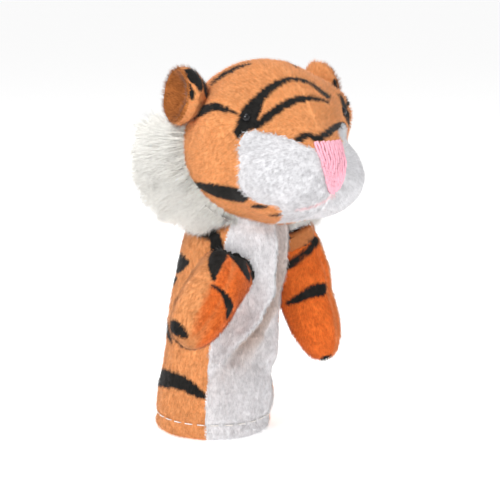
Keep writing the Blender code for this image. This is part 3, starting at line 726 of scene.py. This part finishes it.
def plush_finish(name, roughness, sheen, specular=0.25):
    """Pile or cloth coloured by its own tint, with a little change from hair to hair."""
    made, shader, nodes, links = new_finish(name, {
        "Roughness": roughness, "Specular IOR Level": specular, "Sheen Weight": sheen,
        "Sheen Roughness": 0.45})
    tint = nodes.new("ShaderNodeAttribute")
    tint.attribute_name = "tint"
    place = nodes.new("ShaderNodeTexCoord")
    grain = filled(nodes.new("ShaderNodeTexNoise"), {"Scale": 900.0, "Detail": 2.0})
    lightness = filled(nodes.new("ShaderNodeMapRange"),
                       {"From Min": 0.3, "From Max": 0.7, "To Min": 0.9, "To Max": 1.1})
    mix = nodes.new("ShaderNodeMix")
    mix.data_type = "RGBA"
    mix.blend_type = "MULTIPLY"
    mix.inputs["Factor"].default_value = 1.0
    links.new(place.outputs["Object"], grain.inputs["Vector"])
    links.new(grain.outputs["Fac"], lightness.inputs["Value"])
    links.new(tint.outputs["Color"], mix.inputs["A"])
    links.new(lightness.outputs["Result"], mix.inputs["B"])
    links.new(mix.outputs["Result"], shader.inputs["Base Color"])
    return made


def bead_finish():
    """Glossy black plastic."""
    made, shader, nodes, links = new_finish("black bead", {
        "Base Color": (0.006, 0.006, 0.007, 1), "Specular IOR Level": 0.3, "Coat Weight": 0.15})
    dust = filled(nodes.new("ShaderNodeTexNoise"), {"Scale": 1500.0})
    gloss = filled(nodes.new("ShaderNodeMapRange"), {"To Min": 0.2, "To Max": 0.35})
    links.new(dust.outputs["Fac"], gloss.inputs["Value"])
    links.new(gloss.outputs["Result"], shader.inputs["Roughness"])
    return made


# Head

def head_reach():
    """Rays from the head's middle, the triangles between them, and how far out its face lies."""
    ball = bmesh.new()
    bmesh.ops.create_icosphere(ball, subdivisions=6, radius=1)
    rays = np.array([point.co for point in ball.verts])
    triangles = np.array([[point.index for point in face.verts] for face in ball.faces])
    ball.free()
    middles = np.tile(HEAD_MIDDLE, (len(rays), 1))
    reach = outer_reach(cad_tree(HEAD_PANELS), middles, rays, 60.0, 0.45)
    reach = evened(reach, triangles, 60, known=reach > 0)
    return rays, triangles, evened(reach, triangles, 12)


def head_skin():
    """The head's whole outer skin, and how far each point is from each panel."""
    rays, triangles, reach = head_reach()
    points = HEAD_MIDDLE + rays * reach
    near = distances(points, HEAD_PANELS)
    seen = to_head(points)
    turn = degrees_up(np.abs(seen[:, 0]), -seen[:, 1])
    rise = degrees_up(seen[:, 2], np.hypot(seen[:, 0], seen[:, 1]))
    chin = ramp(turn, 26, 18) * ramp(seen[:, 2], -9, -12)
    jaw = ramp(turn, 24, 32) * ramp(rise, -22, -25)
    near[:, -2:] += (JAW_DRAWN * jaw - CHIN_DRAWN * chin)[:, None]
    brow = bell(turn - BROW_PLACE[0], BROW_FADE[0]) * bell(rise - BROW_PLACE[1], BROW_FADE[1])
    points = HEAD_MIDDLE + rays * (reach + BROW_SWELL * brow[:, None])
    ranked = np.sort(near, axis=1)
    from_seam = ranked[:, 1] - ranked[:, 0]
    points = puffed(points, triangles, bell(from_seam, 1.3), pressure=5.0, cap=0.9)
    return inset(new_skin(points, triangles), 0.9 + 0.35 * bell(from_seam, 0.8)), near


def head_nap(points):
    """The head's pile lies backwards and down."""
    seen = to_head(points)
    return np.stack([0.35 * np.sign(seen[:, 0]) * (seen[:, 1] < -10), np.full(len(points), 0.9),
                     np.where(seen[:, 2] > 8, -0.1, -0.55)], axis=1)


def muzzle_nap(points):
    """The muzzle's pile swirls out from the nose."""
    seen = to_head(points)
    return np.stack([0.5 * np.sign(seen[:, 0]), np.full(len(points), 0.7),
                     0.35 * np.sin(seen[:, 2] / 4.0) - 0.3], axis=1)


def head_pieces(skin, near, finish):
    """One piece for each of the head's panels."""
    random = np.random.default_rng(SEED)
    stripes = laid_on(skin, [*HEAD_STRIPES, FAR_EYE_PATCH, *mirrored(MIRRORED_HEAD_STRIPES)],
                      head_aim)
    mouth = laid_on(skin, [MOUTH], head_aim)
    owner = owners(skin, near)
    *spots, spot_near = scatter(skin, SHORT_PILE.density, random, near)
    spot_owner = spot_near.argmin(1)
    for index, name in enumerate(HEAD_PANELS):
        own = patch(skin, owner == index)
        axis = unit(own.points - HEAD_MIDDLE).mean(0)
        own = own._replace(places=round_places(own.points, axis))
        white = name.startswith("muzzle")
        kind, nap = (WHITE_PILE, muzzle_nap) if white else (SHORT_PILE, head_nap)
        tint, marks, mark = (MUZZLE_SHADED_WHITE, mouth, BLUSH) if white else (ORANGE, stripes, BLACK)
        roots, tips = tinted(own.points, own.normals, tint, marks, mark)
        # The cloth's back is painted darker, as shade inside the head
        cloth = sewn_closed(own, tips, roots * 0.6)
        points, normals, _ = (values[spot_owner == index] for values in spots)
        fur = pile((points, normals, round_places(points, axis)), kind, nap, tint, marks, random,
                   mark)
        nodes = [name] + (["head_stuffing"] if name == "head_back_panel" else [])
        made = piece(name.replace("_panel", "") + "_plush", [cloth, fur], finish, nodes)


# Sleeve

def tube_triangles(rows):
    """Triangles between the points of the sleeve's rows."""
    cell = np.arange(rows * SLEEVE_COLUMNS).reshape(rows, -1)
    beside = np.roll(cell, -1, axis=1)
    low, down, across, up = (corner.ravel()
                             for corner in (cell[:-1], cell[1:], beside[1:], beside[:-1]))
    return np.concatenate([np.stack([low, down, across], axis=1),
                           np.stack([low, across, up], axis=1)])


def slackened(reach, heights, turns):
    """The sleeve's reach with its folds deepened, the belly's own folds and a pinched seam."""
    side = tube_triangles(SLEEVE_ROWS)
    reach = evened(reach, side, 80, known=reach > 0)
    reach = evened(reach, side, 2)
    deeper = reach - evened(reach, side, 90)
    above_hem = ramp(heights, HEM_HEIGHT, HEM_HEIGHT + 10)
    below_shoulder = ramp(heights, SLEEVE_HEIGHT, SLEEVE_HEIGHT - 8)
    below_neck = ramp(heights, SLEEVE_TOP, SLEEVE_TOP - 8)
    reach, deeper = (values.reshape(SLEEVE_ROWS, SLEEVE_COLUMNS) for values in (reach, deeper))
    width = SLEEVE_RADIUS * ((turns + math.pi) % (2 * math.pi) - math.pi)
    ridge, drop = folds(np.stack(np.broadcast_arrays(width, heights[:, None]), axis=-1))
    reach = reach + FOLD_DEPTH * deeper * (above_hem * below_shoulder)[:, None]
    reach += (ridge - drop) * (above_hem * below_neck)[:, None]
    return reach - STITCH_PINCH * bell(heights - STITCH_HEIGHT, 0.8)[:, None]


def sleeve_skin():
    """The sleeve's outer skin down to the hem, round it and up inside its turned edge."""
    edge_heights, edge_insets = np.transpose(HEM_EDGE)
    side_heights = np.linspace(SLEEVE_TOP, 2.4, SLEEVE_ROWS)
    heights = np.concatenate([side_heights, edge_heights])
    insets = np.concatenate([np.zeros(SLEEVE_ROWS), edge_insets])
    turns = np.linspace(0, 2 * math.pi, SLEEVE_COLUMNS, endpoint=False)
    rays = np.stack([np.sin(turns), -np.cos(turns), np.zeros(SLEEVE_COLUMNS)], axis=1)
    middles = np.array([sleeve_middle(height) for height in np.maximum(heights, 1.5)])
    starts = np.repeat(middles[:SLEEVE_ROWS], SLEEVE_COLUMNS, axis=0)
    reach = outer_reach(cad_tree(SLEEVE_PANELS), starts, np.tile(rays, (SLEEVE_ROWS, 1)),
                        40.0, 0.5)
    reach = slackened(reach, side_heights, turns)
    reach = np.concatenate([reach, np.repeat(reach[-1:], len(HEM_EDGE), axis=0)])
    reach = reach - insets[:, None] - SLEEVE_INSET
    points = middles[:, None] + rays[None] * reach[:, :, None]
    points[:, :, 2] = heights[:, None]
    points = points.reshape(-1, 3)
    run = np.concatenate([[0], np.cumsum(np.hypot(np.diff(heights), np.diff(insets)))])
    places = np.stack([np.tile(turns / (2 * math.pi), len(heights)),
                       np.repeat(run / run[-1], SLEEVE_COLUMNS)], axis=1)
    triangles = tube_triangles(len(heights))
    return Skin(points, normals_of(points, triangles), triangles, places)


def folds(place):
    """How far the belly's own folds stand out and drop at places, as (width, height) in mm."""
    total = np.zeros((2, *place.shape[:-1]))
    for edge in FOLD_EDGES:
        spots = [(SLEEVE_RADIUS * math.radians(angle), height) for angle, height, _ in edge]
        nearest = np.full(total[0].shape, 99.0)
        own = np.zeros(total.shape)
        for index, (start, end) in enumerate(zip(spots, spots[1:])):
            away, line = place - start, np.subtract(end, start)
            share = np.clip(away @ line / (line @ line), 0, 1)
            gap = np.linalg.norm(away - share[..., None] * line, axis=-1)
            beside = (line[0] * away[..., 1] - line[1] * away[..., 0]) / np.linalg.norm(line)
            depth = edge[index][2] + (edge[index + 1][2] - edge[index][2]) * share
            drop = depth * np.clip(beside / FOLD_STEP, 0, 1) * np.exp(-(gap / FOLD_WIDTH) ** 2)
            past_end = np.maximum(gap - abs(beside), 0)
            ridge = 0.5 * depth * (beside < 0.5) * np.exp(
                -(np.minimum(beside, 0) / 6) ** 2 - (past_end / 3) ** 2)
            own = np.where(gap < nearest, (ridge, drop), own)
            nearest = np.minimum(gap, nearest)
        total += own
    return total


def painted_fold_shade(points):
    """How much of its red, green and blue the belly's pile keeps under the shade painted into its
    folds.
    """
    away = points[:, :2] - np.array([sleeve_middle(height)[:2] for height in points[:, 2]])
    width = SLEEVE_RADIUS * np.arctan2(away[:, 0], -away[:, 1])
    drop = folds(np.stack([width, points[:, 2]], axis=-1))[1]
    return np.maximum(1 - np.outer(drop, FOLD_PAINTED_SHADE), 0.4)


def downwards(points):
    """Pile that hangs down."""
    return np.tile((0.0, 0.0, -1.0), (len(points), 1))


def sleeve_pieces(skin, finish):
    """The belly and the back of the sleeve."""
    owner = owners(skin, distances(skin.points, SLEEVE_PANELS))
    stripes = laid_on(skin, [*SLEEVE_STRIPES, *mirrored(MIRRORED_SLEEVE_STRIPES)], sleeve_aim)
    for index, name in enumerate(SLEEVE_PANELS):
        own = patch(skin, owner == index)
        white = name == "belly_panel"
        own = own._replace(places=(own.places + (0.5, 0.0) if white else own.places) % 1.0)
        tint, marks = (WHITE, ()) if white else (ORANGE, stripes)
        roots, tips = tinted(own.points, own.normals, tint, marks)
        # The sleeve's inside is painted darker, as shade
        cloth = sewn_closed(own, tips, tips * 0.8)
        kind = WHITE_PILE if white else SHORT_PILE
        random = np.random.default_rng(SEED + 10 + index)
        fur = pile(scatter(own, kind.density, random), kind, downwards, tint, marks, random)
        # The belly's cloth and pile are darkened by the shade painted into its folds
        if white:
            cloth, fur = (block._replace(colours=block.colours * painted_fold_shade(block.points))
                          for block in (cloth, fur))
        piece(name.replace("panel", "plush"), [cloth, fur], finish, [name])


# Arms and ears

def closed_skin(names, voxel, rounds):
    """One even closed skin round several CAD nodes."""
    points, faces = cad_mesh(names)
    mesh = bpy.data.meshes.new("skin")
    mesh.from_pydata(points, [], faces)
    form = shown("skin", mesh)
    remesh = form.modifiers.new("even", "REMESH")
    remesh.mode = "VOXEL"
    remesh.voxel_size = voxel
    drawn = form.evaluated_get(bpy.context.evaluated_depsgraph_get()).to_mesh()
    drawn.calc_loop_triangles()
    points = np.array([point.co for point in drawn.vertices])
    triangles = np.array([face.vertices for face in drawn.loop_triangles])
    bpy.data.objects.remove(form)
    triangles = triangles[largest(len(points), triangles)]
    used, triangles = np.unique(triangles, return_inverse=True)
    triangles = triangles.reshape(-1, 3)
    return new_skin(evened(points[used], triangles, rounds), triangles)


def largest(count, triangles):
    """Which triangles belong to the largest connected part."""
    label = np.arange(count)
    start, end = neighbours(triangles).T
    while True:
        lower = label.copy()
        np.minimum.at(lower, start, label[end])
        lower = lower[lower]
        if (lower == label).all():
            break
        label = lower
    part = label[triangles[:, 0]]
    return part == np.bincount(part).argmax()


def two_cloths(skin, names, looks, thickness, nap, seed, shaded_side=None):
    """The cloths and pile of a form sewn from two pieces, each with its tint, pile and stripes."""
    owner = owners(skin, distances(skin.points, names))
    random = np.random.default_rng(seed)
    blocks = []
    for index, (tint, kind, stripes) in enumerate(looks):
        own = patch(skin, owner == index)
        own = own._replace(places=flat_places(own.points, 0.48) + (0.5 * index, 0.0))
        roots, tips = tinted(own.points, own.normals, tint, stripes, BLACK, shaded_side)
        # The cloth's back is painted darker, as shade inside the form
        blocks.append(sewn_closed(own, tips, roots * 0.6, thickness))
        blocks.append(pile(scatter(own, kind.density, random), kind, nap, tint, stripes, random,
                           shaded_side=shaded_side))
    return blocks


def arm_skin(side, halves):
    """An arm's skin, stuffed, drawn to its place and wider at its root."""
    skin = closed_skin((*halves, f"arm_{side}_stuffing"), 0.85, 6)
    near = distances(skin.points, halves)
    from_seam = abs(near[:, 0] - near[:, 1])
    sewn = bell(from_seam, 0.9)
    skin = reshaped(skin, puffed(skin.points, skin.triangles, sewn, pressure=4.0, cap=0.6))
    skin = inset(skin, 0.75 + 0.1 * bell(from_seam, 0.7))
    shoulder, paw = np.array(ARM_LINES[side], float)
    axis = unit(paw - shoulder)
    away = skin.points - shoulder
    along = away @ axis
    away -= np.outer(along, axis)
    points = skin.points + np.array(ARM_SHIFT)
    points -= np.outer(ARM_RAISED[side] * np.clip(1 - along / 8, 0, 1.2), axis)
    for direction, share, end in ARM_DRAWN[side]:
        wider = share * ramp(along, end, 0) * np.maximum(away @ direction, 0)
        points += np.outer(wider, direction)
    return reshaped(skin, points)


def arm_piece(side, finish):
    """An arm: two cloths sewn together along its edges, round a little fill."""
    halves = (f"arm_{side}_outer", f"arm_{side}_inner")
    skin = arm_skin(side, halves)
    shoulder = np.array(ARM_LINES[side][0])
    stripes = laid_on(skin, ARM_STRIPES[side], arm_aim(side))
    blocks = two_cloths(skin, halves, [(ORANGE, SHORT_PILE, stripes)] * 2, 0.8,
                        lambda spots: spots - shoulder, SEED + 20 + len(side), ARM_SHADED_SIDE[side])
    made = piece(f"arm_{side}_plush", blocks, finish, (*halves, f"arm_{side}_stuffing"))


def ear_piece(side, finish):
    """An ear: an orange back and a darker, longer-haired lining."""
    names = (f"ear_{side}_back", f"ear_{side}_lining")
    skin = inset(closed_skin(names, 0.6, 5), 0.2)
    middle = skin.points.mean(0)
    away = (skin.points - middle) * EAR_GROWTH
    direction, share = EAR_DRAWN[side]
    away += np.outer(share * np.maximum(away @ direction, 0), direction)
    skin = reshaped(skin, middle + away)
    stripes = laid_on(skin, EAR_STRIPES[side], lambda *angles: head_aim(*angles, middle))
    looks = ((ORANGE, SHORT_PILE, stripes), (LINING, LINING_PILE, ()))
    blocks = two_cloths(skin, names, looks, 0.5, lambda spots: spots - HEAD_MIDDLE,
                        SEED + 30 + len(side))
    piece(f"ear_{side}_plush", blocks, finish, names)


# Ruff

def ruff_strip(side, head, near):
    """The strip of the head's skin behind a cheek's seam that the ruff grows from."""
    sign = 1 if side == "left" else -1
    seen = to_head(head.points)
    rise = degrees_up(seen[:, 2], seen[:, 0] * sign)
    from_cheek = near[:, HEAD_PANELS.index(f"cheek_{side}")]
    behind = near.argmin(1) == HEAD_PANELS.index("head_back_panel")
    band = behind & (from_cheek < RUFF_BAND) & (rise > RUFF_LOW[side]) & (rise < RUFF_HIGH)
    strip = patch(head, band[head.triangles].all(1))
    return strip._replace(places=flat_places(strip.points))


def ruff_headings(spots, normals, seen, on_core, random):
    """Directions of the ruff's hairs: outwards, back past the seam, in tufts and drooping."""
    forward = 0.5 * ramp(seen[:, 2], -20, -6)
    backward = np.where(on_core, 0.5, 1.2 * ramp(seen[:, 1], 5, 12) - forward)[:, None]
    lean = np.where(on_core, 0.35, 0.5)[:, None]
    sweep = unit(unit(seen * (1, 0, 1)) + backward * (0.0, 1.0, 0.0) + lean * normals
                 + 0.35 * wander(spots, 3.5, 8) + 0.22 * random.normal(size=spots.shape))
    droop = np.array((0.0, 0.25, -0.35)) + 0.7 * wander(spots, 4.0, 9)
    return unit(sweep + 0.6 * droop)


def ruff_lengths(side, spots, seen, on_core, random):
    """Lengths of the ruff's hairs: shorter far out on its core and towards its two ends."""
    outward = np.linalg.norm(seen[:, (0, 2)], axis=1)
    room = np.maximum(ramp(outward, 38, 24), 0.15)
    height = degrees_up(seen[:, 2], np.abs(seen[:, 0]))
    ends = (np.maximum(ramp(height, RUFF_HIGH, RUFF_HIGH - 14), 0.35)
            * np.maximum(ramp(height, RUFF_LOW[side], RUFF_LOW[side] + 30), 0.35))
    lengths = np.where(on_core, 3.0 + 6.0 * room, RUFF_LENGTH) * ends
    return (lengths * random.uniform(0.75, 1.15, len(spots))
            * (1 + 0.25 * wander(spots, 3.0, 11)[:, 0]))


def ruff_piece(side, head, near, finish):
    """Long soft pile behind a cheek: from the head's cloth at the seam, and on a tufted core."""
    random = np.random.default_rng(SEED + 40 + len(side))
    core = inset(closed_skin((f"ruff_{side}",), 1.1, 4), 0.8)
    core = core._replace(places=flat_places(core.points))
    roots = tinted(core.points, core.normals, CREAM)[0]
    outwards = unit(0.3 * core.normals + unit(to_head(core.points) * (1, 0, 1)))
    # The core under the hairs is painted a little darker, as shade among them
    cloth = Block(core.points, outwards, core.triangles, core.places, roots * 0.85)
    skins = (core, ruff_strip(side, head, near))
    grown = [scatter(skin, density, random) for skin, density in zip(skins, RUFF_DENSITIES)]
    spots, normals, places = (np.concatenate(values) for values in zip(*grown))
    on_core = np.arange(len(spots)) < len(grown[0][0])
    normals = unit(normals)
    seen = to_head(spots)
    headings = ruff_headings(spots, normals, seen, on_core, random)
    lengths = ruff_lengths(side, spots, seen, on_core, random)
    roots, tips = tinted(spots, normals, CREAM)
    shade = random.uniform(0.93, 1.06, (len(spots), 1))
    in_front = np.where(on_core, normals[:, 1] < 0, seen[:, 1] < 10)
    facing = unit(0.3 * normals + unit(seen * (1, 0, 1))
                  + np.outer(np.where(in_front, -0.5, 0.7), (0, 1, 0)))
    widths = random.uniform(0.07, 0.13, len(spots))
    hair = hairs(spots - normals * 0.3, spots + headings * lengths[:, None], widths, facing,
                 places, roots * shade, tips * shade, random)
    piece(f"ruff_{side}_pile", [cloth, hair], finish, (f"ruff_{side}",))


# Nose, eyes, stitches and pocket

def stitches(lines, half_width, rise, tree, colour, sides=8, knots=7):
    """Threads over a skin from point to point, each arched and tucked in at its ends."""
    points, normals, colours = [], [], []
    for start, end, out in lines:
        start, end, out = Vector(start), Vector(end), Vector(out)
        along = (end - start).normalized()
        for knot in range(knots):
            share = knot / (knots - 1)
            spot, facing = tree.find_nearest(start.lerp(end, share))[:2]
            if facing.dot(out) < 0:
                facing = -facing
            across = along.cross(facing).normalized()
            bow = math.sin(math.pi * share)
            width = half_width * (0.35 + 0.65 * min(1.0, 3.0 * bow))
            middle = spot + facing * (rise * (min(1.0, 2.2 * bow) - 0.35))
            for corner in range(sides):
                turn = 2 * math.pi * corner / sides
                ray = across * math.cos(turn) + facing * math.sin(turn)
                points.append(middle + ray * width)
                normals.append(ray)
                # Each thread is painted darker on its flanks than on its crest, as shade of its
                # round
                colours.append(np.array(colour) * (0.82 + 0.22 * math.sin(turn) ** 2))
    last = (knots - 1) * sides
    faces = []
    for knot, corner in product(range(knots - 1), range(sides)):
        a, b = knot * sides + corner, knot * sides + (corner + 1) % sides
        faces += [(a, b, b + sides), (a, b + sides, a + sides)]
    for corner in range(1, sides - 1):
        faces += [(0, corner + 1, corner), (last, last + corner, last + corner + 1)]
    firsts = np.arange(len(lines)) * knots * sides
    triangles = (firsts[:, None, None] + np.array(faces)).reshape(-1, 3)
    points, normals = np.array(points), np.array(normals)
    if (normals_of(points, triangles) * normals).sum() < 0:
        triangles = triangles[:, ::-1]
    return Block(points, normals, triangles, flat_places(points), np.array(colours))


def nose_piece(tree, finish):
    """Pink satin stitches in columns of short staggered threads, each a little askew."""
    toward = Vector(from_head(np.array((0.0, 1.0, 0.0))) - HEAD_MIDDLE)

    def spot(across, share):
        narrow = 1 - 0.62 * share ** 3
        height = NOSE_TOP + (NOSE_BOTTOM + NOSE_DIP * abs(across) ** 2 - NOSE_TOP) * share
        place = from_head(np.array((across * NOSE_HALF * narrow, -60.0, height)))
        return tree.ray_cast(Vector(place), toward)[0]

    lines = []
    for column in range(NOSE_COLUMNS):
        across = 2 * (column + 0.5) / NOSE_COLUMNS - 1
        shift = (column % 2) / 2
        cuts = np.clip((np.arange(NOSE_ROWS + 2) - shift) / NOSE_ROWS, 0, 1)
        for row, (start, end) in enumerate(zip(cuts, cuts[1:])):
            if end - start < 0.02:
                continue
            askew = 0.035 * (1 if (row + column) % 2 else -1)
            lines.append((spot(across - askew, max(0, start - 0.03)),
                          spot(across + askew, min(1, end + 0.03)), (0.0, -1.0, 0.0)))
    block = stitches(lines, 0.44, 0.85, tree, PINK)
    piece("nose_satin", [block], finish, ("nose_stitching",))


def thread_finish():
    """Satin thread, with a fine twist."""
    made = plush_finish("satin thread", 0.32, 0.1, specular=0.7)
    nodes, links = made.node_tree.nodes, made.node_tree.links
    place = nodes.new("ShaderNodeTexCoord")
    twist = filled(nodes.new("ShaderNodeTexWave"), {"Scale": 600.0})
    twist.bands_direction = "DIAGONAL"
    bump = filled(nodes.new("ShaderNodeBump"), {"Strength": 0.5, "Distance": 0.1 * MM})
    links.new(place.outputs["Object"], twist.inputs["Vector"])
    links.new(twist.outputs["Fac"], bump.inputs["Height"])
    links.new(bump.outputs["Normal"], nodes["Principled BSDF"].inputs["Normal"])
    return made


def eye_piece(side, finish):
    """A smooth domed bead, sunk in the pile."""
    low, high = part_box(f"eye_{side}")
    middle = (low + high) / 2
    out = (middle - Vector(HEAD_MIDDLE) * MM).normalized()
    bead = bmesh.new()
    bmesh.ops.create_uvsphere(bead, u_segments=32, v_segments=20, radius=1)
    size = Matrix.Diagonal((EYE_HALF * MM, EYE_HALF * MM, EYE_DOME * MM, 1))
    turn = out.to_track_quat("Z", "Y").to_matrix().to_4x4()
    bead.transform(Matrix.Translation(middle - out * EYE_SUNK * MM) @ turn @ size)
    mesh = bpy.data.meshes.new(f"eye_{side}_bead")
    bead.to_mesh(mesh)
    bead.free()
    mesh.shade_smooth()
    placed(mesh, finish, (f"eye_{side}",))


def hem_stitches(skin, finish):
    """A row of pale running stitches above the hem."""
    tree = skin_tree(skin)
    lines = []
    for index in range(HEM_STITCHES):
        ends = []
        for share in (index, index + HEM_STITCH_SHARE):
            middle, ray = sleeve_aim(360 * share / HEM_STITCHES, STITCH_HEIGHT)
            ends.append(tree.ray_cast(Vector(middle + ray * 40), Vector(-ray))[0])
        lines.append((*ends, ray))
    block = stitches(lines, 0.19, 0.8, tree, HEM_THREAD)
    piece("hem_thread", [block], finish, ())


def pocket_piece(finish):
    """The finger pocket's cloth."""
    skin = closed_skin(("finger_pocket",), 1.0, 4)
    tips = tinted(skin.points, skin.normals, ORANGE)[1]
    block = Block(skin.points, skin.normals, skin.triangles, flat_places(skin.points), tips)
    piece("finger_pocket_cloth", [block], finish, ("finger_pocket",))


# Studio

def photo_camera():
    """The photograph's camera."""
    back = ray_at(CAMERA_TURN, CAMERA_RISE)
    right = ray_at(CAMERA_TURN + math.pi / 2)
    target = right * CAMERA_ASIDE + np.cross(back, right) * CAMERA_UP
    lens = bpy.data.cameras.new("camera")
    lens.lens = CAMERA_LENS
    camera = shown("camera", lens)
    camera.location = (target + back * CAMERA_DISTANCE) * MM
    camera.rotation_euler = (math.pi / 2 - CAMERA_RISE, 0, CAMERA_TURN)
    bpy.context.scene.camera = camera


def pale_floor():
    """A plain floor out to the horizon."""
    grid = bmesh.new()
    bmesh.ops.create_grid(grid, x_segments=1, y_segments=1, size=FLOOR_HALF)
    mesh = bpy.data.meshes.new("floor")
    grid.to_mesh(mesh)
    grid.free()
    mesh.materials.append(new_finish("pale floor", {
        "Base Color": PALE, "Roughness": 0.9, "Emission Color": WHITEST,
        "Emission Strength": FLOOR_GLOW})[0])
    shown("floor", mesh)


def soft_light():
    """The lamps, and a white world that the camera sees brighter than it lights."""
    world = bpy.data.worlds.new("studio")
    world.use_nodes = True
    nodes, links = world.node_tree.nodes, world.node_tree.links
    background = filled(nodes["Background"], {"Color": WHITEST})
    rays = nodes.new("ShaderNodeLightPath")
    strength = filled(nodes.new("ShaderNodeMapRange"),
                      {"To Min": WORLD_LIGHT, "To Max": WORLD_SEEN})
    links.new(rays.outputs["Is Camera Ray"], strength.inputs["Value"])
    links.new(strength.outputs["Result"], background.inputs["Strength"])
    bpy.context.scene.world = world
    bpy.context.scene.view_settings.view_transform = "Standard"
    for name, place, size, power in LAMPS:
        light = bpy.data.lights.new(name, "AREA")
        light.size = size
        light.energy = power
        lamp = shown(name, light)
        lamp.location = place
        lamp.rotation_euler = (LAMP_AIM - lamp.location).to_track_quat("-Z", "Y").to_euler()


def dress():
    """Make every piece."""
    plush = plush_finish("plush", 0.85, 0.12)
    soft = plush_finish("long pile", 0.8, 0.6)
    thread = thread_finish()
    bead = bead_finish()
    head, near = head_skin()
    head_pieces(head, near, plush)
    sleeve = sleeve_skin()
    sleeve_pieces(sleeve, plush)
    hem_stitches(sleeve, thread)
    nose_piece(skin_tree(head), thread)
    for side in ("right", "left"):
        arm_piece(side, plush)
        ear_piece(side, plush)
        ruff_piece(side, head, near, soft)
        eye_piece(side, bead)
    pocket_piece(plush)


dress()
photo_camera()
pale_floor()
soft_light()
